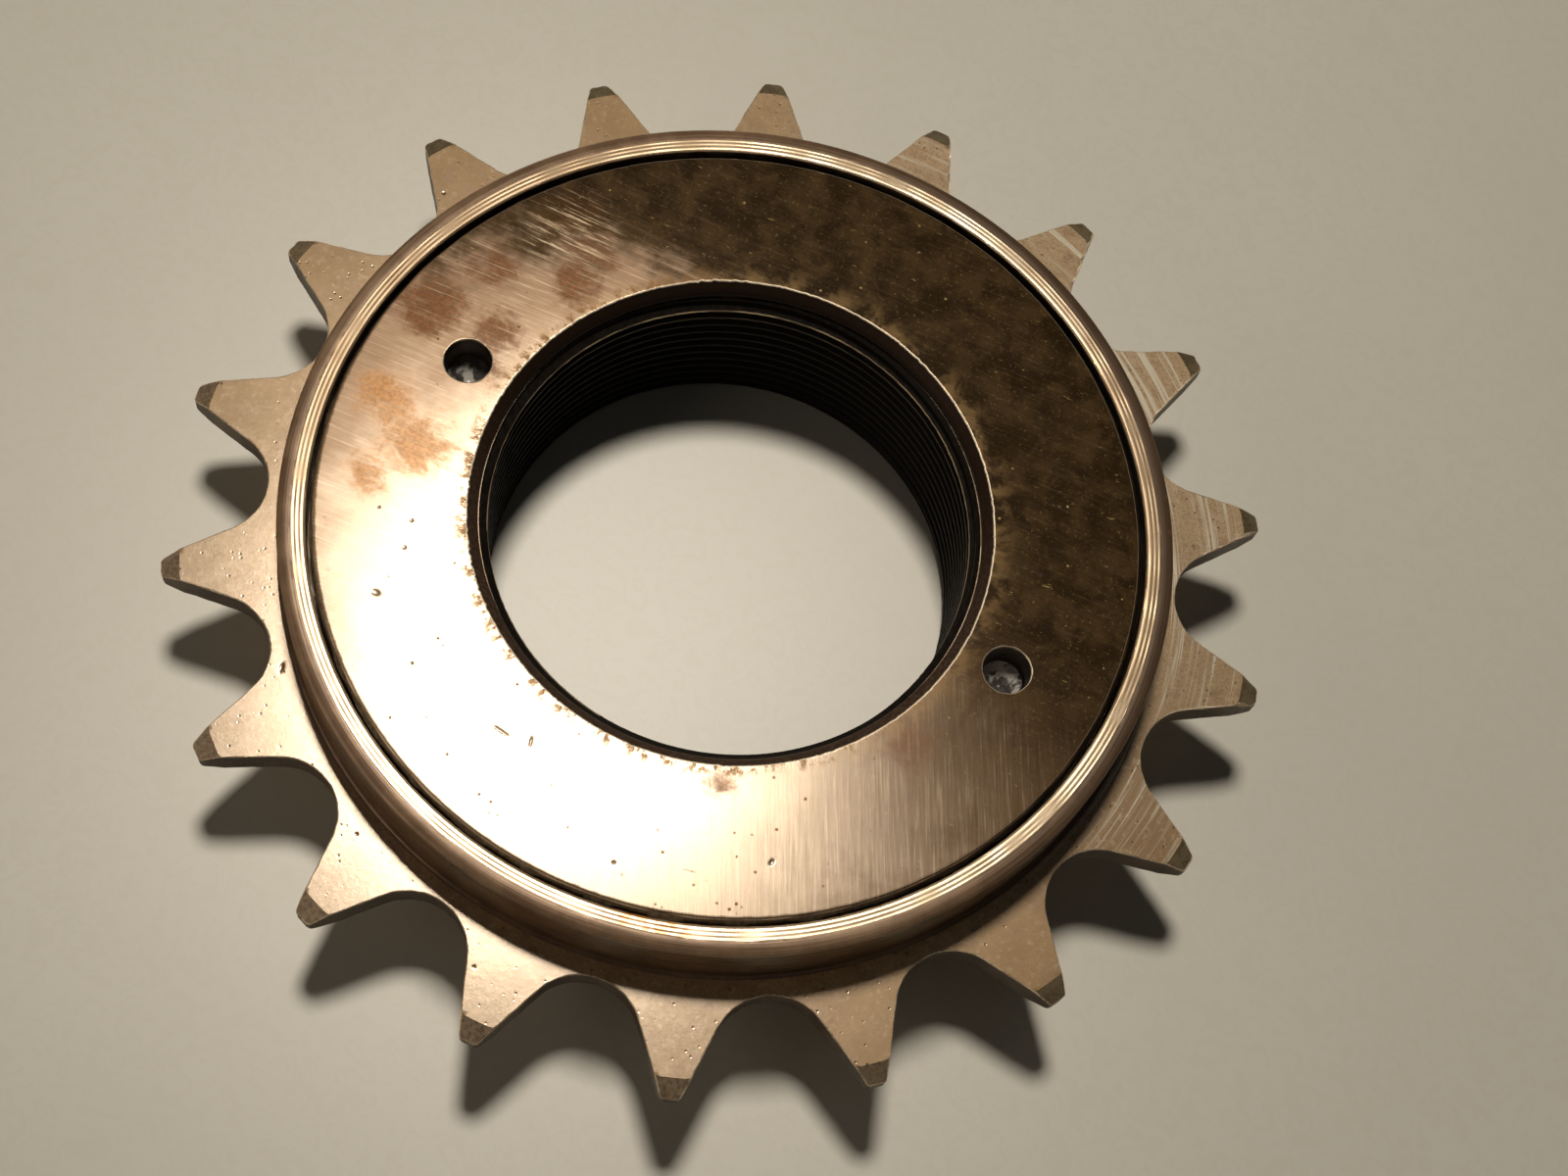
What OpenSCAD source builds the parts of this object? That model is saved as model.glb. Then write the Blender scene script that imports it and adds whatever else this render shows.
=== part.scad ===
// Single-speed freewheel sprocket for a half-inch chain.
// Origin: centre of the hub thread, on the rear face that seats against the hub.
// +Z points out of the hub, towards the bearing cone's face.
// +X runs through the centres of the two pin-spanner holes.

/* [Chain teeth] */
// Number of chain teeth
tooth_count = 18; // [18:1:22]
// Chain pitch
chain_pitch = 12.7; // [12.6:0.05:12.8]
// Radius of the round seat that a chain roller sits in
roller_seat_r = 3.98; // [3.9:0.01:4.05]
// Height of the tooth tips above the pitch circle
tip_above_pitch = 2.83; // [2.4:0.01:3.1]
// Angle between a tooth's flank and the middle line of the gap next to it
flank_angle = 32.25; // [30:0.25:34]
// Thickness of the toothed plate
plate_t = 2.3; // [2:0.1:2.8]
// Height of the toothed plate's rear face above the hub face
plate_z = 6.9; // [6.5:0.1:7.1]
// Radial length of the chamfer on each tooth tip
tip_chamfer_len = 1.36; // [0.8:0.02:1.6]
// Depth of the chamfer on each side of a tooth tip
tip_chamfer_depth = 0.6; // [0.3:0.05:0.8]
// Direction of the first tooth
first_tooth_angle = 15; // [0:1:19]

/* [Shell] */
// Outer radius of the boss at its front and rear rims
boss_r = 31; // [30.5:0.1:31]
// Outer radius of the boss where it meets the toothed plate
boss_base_r = 31.1; // [31.1:0.1:31.5]
// Height of the shell's front rim above the hub face
rim_z = 14.5; // [14.4:0.1:14.8]
// Height of the shell's rear rim above the hub face
shell_rear_z = 0.6; // [0.4:0.1:1]
// Inner radius of the front and rear rims
rim_inner_r = 29.2; // [29.1:0.1:29.4]
// Chamfer on the outer edge of the rear rim
rim_chamfer = 0.4; // [0.2:0.05:0.6]
// Radial width of the low shoulder on the outer edge of the front rim
shoulder_w = 0.85; // [0.5:0.05:1]
// How far that shoulder falls towards the outside
shoulder_drop = 0.35; // [0.2:0.05:0.6]

/* [Bearings] */
// Diameter of a bearing ball
ball_d = 3.175; // [3.15:0.005:3.18]
// Radius of the circle that the ball centres run on
ball_circle_r = 27.1; // [27.05:0.01:27.15]
// Balls in each of the five groups that make up one row
balls_per_group = 10; // [6:1:10]
// Radius of the groove that the balls run in
race_r = 1.65; // [1.63:0.01:1.66]
// Height of the rear ball row's centres above the hub face
rear_row_z = 3.2; // [3.15:0.05:3.25]
// Height of the front ball row's centres above the hub face
front_row_z = 11.2; // [11.15:0.05:11.25]

/* [Ratchet] */
// Number of ratchet teeth inside the shell
ratchet_count = 20; // [20:4:24]
// Radius at the tips of the ratchet teeth
ratchet_tip_r = 25.5; // [25.4:0.05:25.6]
// Radius at the roots of the ratchet teeth
ratchet_root_r = 26.9; // [26.8:0.05:26.95]
// Height of a pawl along the axis
pawl_t = 3.6; // [3:0.1:3.65]
// Radius of the round heel that a pawl turns on
pawl_heel_r = 1.7; // [1.6:0.05:1.75]
// Distance from the axis to a pawl's pivot
pawl_pivot_r = 22.9; // [22.85:0.05:22.95]
// Direction of the first pawl's pivot
first_pawl_angle = 40; // [0:1:90]

/* [Inner body] */
// Radius at the crests of the hub thread
thread_minor_r = 16.9; // [16.85:0.01:16.95]
// Radius of the rear flange
rear_flange_r = 28.5; // [28.3:0.1:28.6]
// Radius of the band that carries the pawls
pawl_band_r = 24.9; // [24.8:0.05:25]
// Radius of the neck that the cone screws onto
neck_r = 19.55; // [19.4:0.05:19.6]
// Height of the neck's end above the hub face
neck_z = 13.3; // [13:0.1:13.4]

/* [Cone] */
// Height of the cone's front face above the hub face
cone_face_z = 14.4; // [14.3:0.05:14.5]
// Outer radius of the cone's front face
cone_r = 28.5; // [28.3:0.1:28.6]
// Radius of the bore at the cone's front face
cone_bore_r = 18.25; // [18:0.05:18.5]
// Radius of a pin-spanner hole
pin_hole_r = 1.65; // [1.5:0.05:1.8]
// Diameter of the circle that the pin-spanner holes lie on
pin_hole_pcd = 43.3; // [43:0.1:44]
// Depth of the straight part of a pin-spanner hole
pin_hole_depth = 2.4; // [2:0.1:2.6]

/* [Hidden] */
$fn = 120;

// Overrun of a cutting tool past the surface it cuts
over = 1;

// Chain teeth
pitch_r = chain_pitch / 2 / sin(180 / tooth_count);
tip_r = pitch_r + tip_above_pitch;
// A flank runs this far inside the seat's edge, so that the two lines cross
flank_inset = 0.03;
flank_len = 10;
plate_top_z = plate_z + plate_t;

// Bearings
row_groups = 5;
row_balls = row_groups * balls_per_group;
// Height between a ball's centre and the shoulder that stops its race
race_shoulder = 0.2;
race_land_r = 26.6;

// Ratchet ring, which fills the shell between the two races
ratchet_low_z = 4.9;
ratchet_high_z = 9.45;
ratchet_wall_r = 27;
ratchet_steps = 4;
// Directions, from a pawl's pivot, of the drive face's tip and root
drive_tip_angle = 19.7;
drive_root_angle = 17.2;
ratchet_land_angle = 1.2;

// Pawls
pawl_count = 2;
pawl_low_z = 5.2;
pawl_back_r = 25.05;
pawl_len = 8.2;
pawl_undercut = 0.3;
// Corners of a pawl's arm; x is measured from the pivot away from the axis, y towards the tip
arm_root_half_w = 0.9 * pawl_heel_r;
arm_root_y = 0.5;
arm_back_x = 3;
arm_back_y = 2.4;
arm_tip_x = 0.7;
arm_toe_x = -1;
arm_belly_x = -1.45;

// Pockets that hold the pawls
socket_gap = 0.08;
pocket_low_z = 5.1;
pocket_floor_r = 20.35;
pocket_start = 1;
pocket_end = 8.9;
socket_lip = 0.5;

// Pawl springs: bowed leaves that lie on the pocket floor
leaf_t = 0.3;
leaf_bow_r = 10.8;
leaf_crown_r = 21.2;
leaf_middle = 4.6;
leaf_half_len = 3.3;
leaf_low_z = 5.4;
leaf_w = 3.2;
// Radial reach of the cut that keeps one bow of the leaf's ring
leaf_cut_depth = 2;

// Inner body
flange_top_z = 1.3;
flange_edge = 0.3;
band_top_z = 8.9;
bore_chamfer = 0.8;
neck_chamfer = 0.5;

// Shims
shim_gap = 0.15;
shim_outer_r = 24.2;
shim_t = [0.15, 0.15, 0.2];

// Cone
cone_low_z = 9.4;
cone_fit_gap = 0.05;
cone_flange_z = 13.05;
cone_edge = 0.15;
cone_lip_r = 17.55;
drill_point_angle = 59;

function polar(r, a) = [r * cos(a), r * sin(a)];

function sum_to(v, n) = n == 0 ? 0 : v[n - 1] + sum_to(v, n - 1);

// One gap between two chain teeth, centred on +X
module tooth_gap() {
    seat = [pitch_r, 0];
    foot_r = roller_seat_r - flank_inset;
    foot = [-foot_r * sin(flank_angle), foot_r * cos(flank_angle)];
    away = [flank_len * cos(flank_angle), flank_len * sin(flank_angle)];
    translate(seat) {
        circle(r = roller_seat_r);
        polygon([
            [0, 0], foot, foot + away,
            [foot.x + away.x, -foot.y - away.y], [foot.x, -foot.y]
        ]);
    }
}

module toothed_outline() {
    difference() {
        circle(r = tip_r + over);
        for (i = [0 : tooth_count - 1])
            rotate(first_tooth_angle + (i + 0.5) * 360 / tooth_count)
                tooth_gap();
    }
}

// The toothed disc, with both sides of its tips chamfered
module toothed_plate() {
    chamfer_r = tip_r - tip_chamfer_len;
    intersection() {
        translate([0, 0, plate_z])
            linear_extrude(plate_t)
                toothed_outline();
        rotate_extrude()
            polygon([
                [0, plate_z], [chamfer_r, plate_z],
                [tip_r, plate_z + tip_chamfer_depth],
                [tip_r, plate_top_z - tip_chamfer_depth],
                [chamfer_r, plate_top_z], [0, plate_top_z]
            ]);
    }
}

// Section of the boss and of its two rims, without the inside
module boss_section() {
    polygon([
        [ratchet_tip_r, shell_rear_z], [boss_r - rim_chamfer, shell_rear_z],
        [boss_r, shell_rear_z + rim_chamfer],
        [boss_base_r, plate_z], [boss_base_r, plate_top_z],
        [boss_r, rim_z - shoulder_drop], [boss_r - shoulder_w, rim_z],
        [ratchet_tip_r, rim_z]
    ]);
}

// Everything that is turned out of the shell's inside
module shell_inside_section() {
    front_shoulder_z = front_row_z - race_shoulder;
    rear_shoulder_z = rear_row_z + race_shoulder;
    polygon([
        [0, shell_rear_z - over], [rim_inner_r, shell_rear_z - over],
        [rim_inner_r, rear_shoulder_z], [ratchet_wall_r, rear_shoulder_z],
        [ratchet_wall_r, front_shoulder_z], [rim_inner_r, front_shoulder_z],
        [rim_inner_r, rim_z + over], [0, rim_z + over]
    ]);
    translate([ball_circle_r, front_row_z])
        circle(r = race_r);
    translate([ball_circle_r, rear_row_z])
        circle(r = race_r);
}

// One valley between two ratchet teeth; a pawl's tip drops into it and meets its far end.
// Its ramp and its drive face both run on past the ring's inside.
module ratchet_valley() {
    pitch_angle = 360 / ratchet_count;
    ramp_start = drive_tip_angle + ratchet_land_angle - pitch_angle;
    drive_tip = polar(ratchet_tip_r, drive_tip_angle);
    drive_root = polar(ratchet_root_r, drive_root_angle);
    ramp = [
        for (i = [-1 : ratchet_steps])
            polar(
                ratchet_tip_r + (ratchet_root_r - ratchet_tip_r) * i / ratchet_steps,
                ramp_start + (drive_root_angle - ramp_start) * i / ratchet_steps
            )
    ];
    polygon(concat(ramp, [drive_tip + (drive_tip - drive_root) / 2]));
}

// The ring of ratchet teeth; its outside lies within the shell's wall
module ratchet_ring() {
    translate([0, 0, ratchet_low_z])
        linear_extrude(ratchet_high_z - ratchet_low_z)
            difference() {
                circle(r = ratchet_wall_r + over);
                circle(r = ratchet_tip_r);
                for (i = [0 : ratchet_count - 1])
                    rotate(first_pawl_angle + i * 360 / ratchet_count)
                        ratchet_valley();
            }
}

module toothed_shell() {
    color([0.62, 0.52, 0.42]) {
        difference() {
            union() {
                toothed_plate();
                rotate_extrude()
                    boss_section();
            }
            rotate_extrude()
                shell_inside_section();
        }
        ratchet_ring();
    }
}

// Outline of a pawl that is pressed down, with its pivot on +X
module pawl_outline() {
    heel_x = pawl_pivot_r;
    intersection() {
        circle(r = pawl_back_r);
        union() {
            translate([heel_x, 0])
                circle(r = pawl_heel_r);
            polygon([
                [heel_x - arm_root_half_w, arm_root_y], [heel_x + arm_root_half_w, arm_root_y],
                [heel_x + arm_back_x, arm_back_y], [heel_x + arm_back_x, pawl_len],
                [heel_x + arm_tip_x, pawl_len], [heel_x + arm_toe_x, pawl_len + pawl_undercut],
                [heel_x + arm_belly_x, pawl_len / 2]
            ]);
        }
    }
}

// The pocket in the body that holds one pawl and its spring
module pocket_outline() {
    outside_r = pawl_band_r + over;
    translate([pawl_pivot_r, 0])
        circle(r = pawl_heel_r + socket_gap);
    polygon([
        [pocket_floor_r, pocket_start], [pocket_floor_r, pocket_end],
        [outside_r, pocket_end], [outside_r, -socket_lip],
        [pawl_pivot_r, -socket_lip]
    ]);
}

module body_section() {
    difference() {
        polygon([
            [thread_minor_r, bore_chamfer], [thread_minor_r + bore_chamfer, 0],
            [rear_flange_r - flange_edge, 0], [rear_flange_r, flange_edge],
            [rear_flange_r, flange_top_z], [race_land_r, flange_top_z],
            [race_land_r, rear_row_z], [pawl_band_r, rear_row_z],
            [pawl_band_r, band_top_z], [neck_r, band_top_z],
            [neck_r, neck_z], [thread_minor_r + neck_chamfer, neck_z],
            [thread_minor_r, neck_z - neck_chamfer]
        ]);
        translate([ball_circle_r, rear_row_z])
            circle(r = race_r);
    }
}

module inner_body() {
    color([0.36, 0.3, 0.26])
        difference() {
            rotate_extrude()
                body_section();
            translate([0, 0, pocket_low_z])
                linear_extrude(band_top_z - pocket_low_z + over)
                    for (i = [0 : pawl_count - 1])
                        rotate(first_pawl_angle + i * 360 / pawl_count)
                            pocket_outline();
        }
}

module cone_section() {
    lip_low_z = neck_z + cone_fit_gap;
    lip_chamfer_z = cone_face_z - (cone_bore_r - cone_lip_r);
    difference() {
        polygon([
            [cone_lip_r, lip_low_z], [cone_lip_r, lip_chamfer_z], [cone_bore_r, cone_face_z],
            [cone_r - cone_edge, cone_face_z], [cone_r, cone_face_z - cone_edge],
            [cone_r, cone_flange_z], [race_land_r, cone_flange_z],
            [race_land_r, front_row_z], [shim_outer_r, front_row_z],
            [shim_outer_r, cone_low_z], [neck_r + cone_fit_gap, cone_low_z],
            [neck_r + cone_fit_gap, lip_low_z]
        ]);
        translate([ball_circle_r, front_row_z])
            circle(r = race_r);
    }
}

// A blind hole with the cone-shaped bottom that a drill leaves
module pin_hole() {
    point_h = pin_hole_r / tan(drill_point_angle);
    translate([0, 0, cone_face_z - pin_hole_depth])
        cylinder(r = pin_hole_r, h = pin_hole_depth + over);
    translate([0, 0, cone_face_z - pin_hole_depth - point_h])
        cylinder(r1 = 0, r2 = pin_hole_r, h = point_h);
}

module bearing_cone() {
    color([0.66, 0.54, 0.4])
        difference() {
            rotate_extrude()
                cone_section();
            for (side = [-1, 1])
                translate([side * pin_hole_pcd / 2, 0, 0])
                    pin_hole();
        }
}

// A thin washer; shims are counted from the body's shoulder upwards
module shim(n) {
    color([0.7, 0.68, 0.64])
        translate([0, 0, band_top_z + sum_to(shim_t, n - 1)])
            linear_extrude(shim_t[n - 1])
                difference() {
                    circle(r = shim_outer_r - shim_gap);
                    circle(r = neck_r + shim_gap);
                }
}

module pawl(n) {
    color([0.45, 0.44, 0.43])
        rotate(first_pawl_angle + (n - 1) * 360 / pawl_count)
            translate([0, 0, pawl_low_z])
                linear_extrude(pawl_t)
                    pawl_outline();
}

module pawl_spring(n) {
    color([0.3, 0.3, 0.32])
        rotate(first_pawl_angle + (n - 1) * 360 / pawl_count)
            translate([0, 0, leaf_low_z])
                linear_extrude(leaf_w)
                    intersection() {
                        translate([leaf_crown_r - leaf_bow_r, leaf_middle])
                            difference() {
                                circle(r = leaf_bow_r);
                                circle(r = leaf_bow_r - leaf_t);
                            }
                        translate([pocket_floor_r - leaf_t, leaf_middle - leaf_half_len])
                            square([leaf_cut_depth, 2 * leaf_half_len]);
                    }
}

// One group of the balls in a row whose centres lie at height z
module ball_group(n, z) {
    color([0.75, 0.74, 0.72])
        for (i = [0 : balls_per_group - 1])
            rotate(((n - 1) * balls_per_group + i) * 360 / row_balls)
                translate([ball_circle_r, 0, z])
                    sphere(d = ball_d, $fn = 32);
}

toothed_shell();
inner_body();
bearing_cone();
for (n = [1 : len(shim_t)]) {
    shim(n);
}
for (n = [1 : pawl_count]) {
    pawl(n);
    pawl_spring(n);
}
for (n = [1 : row_groups]) {
    ball_group(n, front_row_z);
    ball_group(n, rear_row_z);
}
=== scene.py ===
"""The looks of a single-speed freewheel sprocket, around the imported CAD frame.

Shapes are worked out in millimetres in the row frame and turned into metres as each mesh is made.
"""

import math
import random

import bmesh
import bpy
import numpy as np
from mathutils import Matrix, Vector
from mathutils.geometry import delaunay_2d_cdt


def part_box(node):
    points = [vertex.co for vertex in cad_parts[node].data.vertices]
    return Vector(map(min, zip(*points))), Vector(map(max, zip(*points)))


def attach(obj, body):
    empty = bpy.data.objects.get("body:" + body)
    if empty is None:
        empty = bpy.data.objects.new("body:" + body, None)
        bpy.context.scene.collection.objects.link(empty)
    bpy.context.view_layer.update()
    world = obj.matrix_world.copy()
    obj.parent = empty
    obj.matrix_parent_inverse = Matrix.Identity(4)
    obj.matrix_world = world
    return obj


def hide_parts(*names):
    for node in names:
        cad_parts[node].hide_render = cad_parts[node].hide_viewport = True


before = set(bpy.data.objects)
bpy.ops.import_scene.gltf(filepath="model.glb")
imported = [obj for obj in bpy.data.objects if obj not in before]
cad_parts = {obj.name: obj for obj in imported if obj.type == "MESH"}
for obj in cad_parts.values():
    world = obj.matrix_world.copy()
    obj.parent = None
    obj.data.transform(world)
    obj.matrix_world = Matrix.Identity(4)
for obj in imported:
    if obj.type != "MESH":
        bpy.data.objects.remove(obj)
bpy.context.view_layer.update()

MM = 0.001
TAU = 2 * math.pi

# Heights and outer sizes that the CAD boxes give
SHELL_LOW, SHELL_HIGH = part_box("toothed_shell")
BODY_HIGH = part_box("inner_body")[1]
CONE_LOW, CONE_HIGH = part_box("bearing_cone")
RIM_Z = SHELL_HIGH.z / MM
SHELL_REAR_Z = SHELL_LOW.z / MM
NECK_Z = BODY_HIGH.z / MM
CONE_Z = CONE_HIGH.z / MM
CONE_LOW_Z = CONE_LOW.z / MM
CONE_R = CONE_HIGH.x / MM
REAR_FLANGE_R = BODY_HIGH.x / MM

# Chain teeth
TOOTH_COUNT = 18
FIRST_TOOTH = math.radians(15)
PITCH_R = 12.7 / 2 / math.sin(math.pi / TOOTH_COUNT)
TIP_R = PITCH_R + 2.83
SEAT_R = 3.98
FLANK_ANGLE = math.radians(32.25)
TIP_FILLET = 0.42
PLATE_LOW_Z, PLATE_HIGH_Z = 6.9, 9.2
CHAMFER_R = TIP_R - 1.36
CHAMFER_SLOPE = 0.6 / 1.36
BURR_MIDDLE = math.radians(52)

# Shell
BOSS_R, BOSS_BASE_R = 31.0, 31.1
BOSS_FILLET = 0.35
RIM_INNER_R = 29.2
RIM_CHAMFER = 0.4
SHOULDER_OUT_R, SHOULDER_WIDTH, SHOULDER_DROP = 31.05, 0.98, 0.28
RIM_LIP_R = 29.08
RIDGE_R, RIDGE_PITCH = 29.73, 0.31
RACE_R, RACE_CIRCLE_R = 1.65, 27.1
FRONT_ROW_Z, REAR_ROW_Z = 11.2, 3.2
SHOULDER_STEP = 0.2
RATCHET_WALL_R, RATCHET_TIP_R, RATCHET_ROOT_R = 27.0, 25.5, 26.9
RATCHET_LOW_Z, RATCHET_HIGH_Z = 4.9, 9.45
RATCHET_COUNT = 20
PAWL_ANGLE = math.radians(40)

# Inner body
THREAD_MINOR_R, THREAD_MAJOR_R = 16.9, 17.46
THREAD_PITCH = 25.4 / 24
THREAD_FRONT_R, THREAD_REAR_R = 17.5, 17.7
RACE_LAND_R = 26.6
PAWL_BAND_R, BAND_TOP_Z = 24.9, 8.9
NECK_R = 19.55

# Cone
BORE_EDGE_R, LIP_R = 18.25, 17.55
PIN_R, PIN_CIRCLE_R, PIN_DEPTH = 1.65, 21.65, 2.4
# The face lies a little low, so that the raised lips of its pits stay inside the CAD box
CONE_FACE_Z = CONE_Z - 0.012

# Material numbers within each piece, in the order in which its materials are given
PLATE, FLANK, TIP, BURR, BOSS, RIM, INSIDE = range(7)
CONE_FACE, CONE_CHAMFER, HOLE_SIDE, HOLE_BOTTOM, CONE_UNDER, GREASE = range(6)
FLANGE, BODY_SIDE, PLAIN_BORE, THREAD = range(4)


# ---------------------------------------------------------------- mesh building

class Shape:
    """Points and faces of one piece, in millimetres. Each face carries a material number."""

    def __init__(self):
        self.points = []
        self.faces = []
        self.finish = []
        self.wear = []

    def add(self, points, wear=0.0):
        first = len(self.points)
        self.points.extend([tuple(float(c) for c in p) for p in points])
        shares = wear if hasattr(wear, "__len__") else [wear] * len(points)
        self.wear.extend(float(w) for w in shares)
        return list(range(first, len(self.points)))

    def face(self, corners, finish=0):
        self.faces.append(tuple(corners))
        self.finish.append(finish)

    def ring(self, radii, heights, angles, wear=0.0):
        """A closed ring of points; radii and heights are single numbers or one for each angle."""
        n = len(angles)
        r = np.broadcast_to(radii, n)
        z = np.broadcast_to(heights, n)
        return self.add(np.column_stack((r * np.cos(angles), r * np.sin(angles), z)), wear)

    def bridge(self, a, b, finish=0):
        n = len(a)
        for i in range(n):
            j = (i + 1) % n
            self.face((a[i], a[j], b[j], b[i]), finish)

    def lathe(self, profile, angles, finish, last, wear, shake):
        """Rings through a profile, each joined to the one before; shake(z) roughens the radius.

        Returns the last ring."""
        for r, z in profile:
            ring = self.ring(r + shake(z), z, angles, wear)
            self.bridge(last, ring, finish)
            last = ring
        return last

    def object(self, name, materials, smooth_angle=35.0):
        mesh = bpy.data.meshes.new(name)
        mesh.from_pydata([(x * MM, y * MM, z * MM) for x, y, z in self.points], [], self.faces)
        for material in materials:
            mesh.materials.append(material)
        mesh.polygons.foreach_set("material_index", self.finish)
        # Besides worn edges, the wear attribute carries painted shade where it is negative and a painted highlight
        # on the first thread crests
        share = mesh.attributes.new("wear", "FLOAT", "POINT")
        share.data.foreach_set("value", self.wear)
        made = bpy.data.objects.new(name, mesh)
        bpy.context.scene.collection.objects.link(made)
        tidy_mesh(mesh, smooth_angle)
        return made


def tidy_mesh(mesh, smooth_angle):
    """Welds doubles, removes empty faces, turns all faces outwards and shades by angle."""
    bm = bmesh.new()
    bm.from_mesh(mesh)
    bmesh.ops.remove_doubles(bm, verts=bm.verts, dist=0.0008 * MM)
    bmesh.ops.dissolve_degenerate(bm, dist=0.0005 * MM, edges=bm.edges)
    loose = [v for v in bm.verts if not v.link_faces]
    bmesh.ops.delete(bm, geom=loose, context="VERTS")
    bmesh.ops.recalc_face_normals(bm, faces=bm.faces)
    limit = math.radians(smooth_angle)
    for face in bm.faces:
        face.smooth = True
    for edge in bm.edges:
        finishes = {face.material_index for face in edge.link_faces}
        allowed = limit if len(finishes) == 1 else min(limit, math.radians(6))
        edge.smooth = len(edge.link_faces) == 2 and edge.calc_face_angle(0.0) < allowed
    bm.to_mesh(mesh)
    bm.free()
    mesh.update()


def waves(seed, count, low, high):
    """A smooth function of an angle that repeats each turn and stays roughly within -1 and 1."""
    rnd = random.Random(seed)
    parts = [(rnd.randint(low, high), rnd.uniform(0, TAU), rnd.uniform(0.4, 1)) for _ in range(count)]
    total = math.sqrt(sum(a * a for _, _, a in parts) / 2) * 1.6

    def value(angle):
        return sum(a * np.sin(n * angle + p) for n, p, a in parts) / total

    return value


def fill(points, edges, keep):
    """Delaunay triangles over flat points with the edges forced in, where keep(x, y) says so.

    Returns all points and the triangles; the given points come first, in their order."""
    flat = [Vector((p[0], p[1])) for p in points]
    out_points, _, out_faces, origin, _, _ = delaunay_2d_cdt(flat, edges, [], 0, 1e-6)
    names = {}
    extra = []
    for i, sources in enumerate(origin):
        if sources:
            names[i] = sources[0]
        else:
            names[i] = len(points) + len(extra)
            extra.append((out_points[i].x, out_points[i].y))
    triangles = []
    for f in out_faces:
        cx = sum(out_points[i].x for i in f) / len(f)
        cy = sum(out_points[i].y for i in f) / len(f)
        if keep(cx, cy):
            triangles.append([names[i] for i in f])
    return list(points) + extra, triangles


def scatter(seed, spacing, r_low, r_high, keep):
    """Roughly even points with a little jitter, between two radii."""
    rnd = random.Random(seed)
    points = []
    row = 0
    r = r_low
    while r < r_high:
        n = int(TAU * r / spacing)
        for i in range(n):
            a = TAU * (i + 0.5 * (row % 2) + rnd.uniform(-0.2, 0.2)) / n
            rr = r + rnd.uniform(-0.2, 0.2) * spacing
            x, y = rr * math.cos(a), rr * math.sin(a)
            if keep(x, y):
                points.append((x, y))
        r += spacing * 0.87
        row += 1
    return points


class Dent:
    """A small pit with a raised lip, at a direction and radius, long along its own direction."""

    def __init__(self, degrees, radius, size, depth, lip=0.0, stretch=1.0, turn=0.0):
        a = math.radians(degrees)
        self.x, self.y = radius * math.cos(a), radius * math.sin(a)
        self.size, self.depth, self.lip = size, depth, lip
        self.stretch, self.turn = stretch, math.radians(turn)

    def distance(self, x, y):
        dx, dy = x - self.x, y - self.y
        u = dx * math.cos(self.turn) + dy * math.sin(self.turn)
        v = -dx * math.sin(self.turn) + dy * math.cos(self.turn)
        return math.hypot(u / self.stretch, v) / self.size

    def height(self, x, y):
        d = self.distance(x, y)
        if d > 3:
            return 0.0
        return self.lip * math.exp(-((d - 1.25) / 0.3) ** 2) - self.depth * math.exp(-(d ** 4))

    def shade(self, x, y):
        """The pit's mark on the wear attribute: negative inside it for painted shade, positive on its raised lip
        for wear.
        """
        d = self.distance(x, y)
        return 0.0 if d > 1.8 else (-1.0 if d < 0.95 else (1.0 if self.lip > 0.02 and d < 1.45 else 0.0))

    def points(self):
        """Extra mesh points that give the pit its shape."""
        found = [(self.x, self.y)]
        for k, d in enumerate((0.45, 0.85, 1.1, 1.3, 1.6, 2.1)):
            n = 10 + 2 * k
            for i in range(n):
                a = TAU * (i + 0.5 * (k % 2)) / n
                u, v = d * self.size * self.stretch * math.cos(a), d * self.size * math.sin(a)
                found.append((
                    self.x + u * math.cos(self.turn) - v * math.sin(self.turn),
                    self.y + u * math.sin(self.turn) + v * math.cos(self.turn),
                ))
        return found


# ---------------------------------------------------------------- toothed shell

def half_tooth():
    """Half a tooth's outline, from the tip's middle to the gap's middle; x runs along the tooth."""
    half_gap = math.pi / TOOTH_COUNT
    seat = np.array((math.cos(half_gap), math.sin(half_gap))) * PITCH_R
    turn = half_gap - FLANK_ANGLE
    along = np.array((math.cos(turn), math.sin(turn)))
    inward = np.array((along[1], -along[0]))
    foot = seat + inward * SEAT_R
    # The fillet's centre is TIP_FILLET inside both the flank and the tip circle
    start = foot + inward * TIP_FILLET
    reach = TIP_R - TIP_FILLET
    b = start @ along
    centre = start + along * (-b + math.sqrt(b * b - start @ start + reach * reach))
    flank_end = centre - inward * TIP_FILLET
    tip_end = centre * (TIP_R / reach)
    # The point where the flank passes the start of the tip's chamfer
    b = foot @ along
    kink = foot + along * (-b + math.sqrt(b * b - foot @ foot + CHAMFER_R ** 2))
    points = []
    a_tip = math.atan2(tip_end[1], tip_end[0])
    for i in range(5):
        a = a_tip * i / 5
        points.append((TIP_R * math.cos(a), TIP_R * math.sin(a)))
    a0 = math.atan2(*(tip_end - centre)[::-1])
    a1 = math.atan2(*(flank_end - centre)[::-1])
    for i in range(5):
        a = a0 + (a1 - a0) * i / 5
        points.append(tuple(centre + TIP_FILLET * np.array((math.cos(a), math.sin(a)))))
    for i in range(4):
        points.append(tuple(flank_end + (kink - flank_end) * i / 4))
    for i in range(15):
        points.append(tuple(kink + (foot - kink) * i / 15))
    a0 = math.atan2(*(foot - seat)[::-1])
    a1 = half_gap + math.pi
    if a0 < 0:
        a0 += TAU
    for i in range(17):
        a = a0 + (a1 - a0) * i / 16
        points.append(tuple(seat + SEAT_R * np.array((math.cos(a), math.sin(a)))))
    return points


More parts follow.
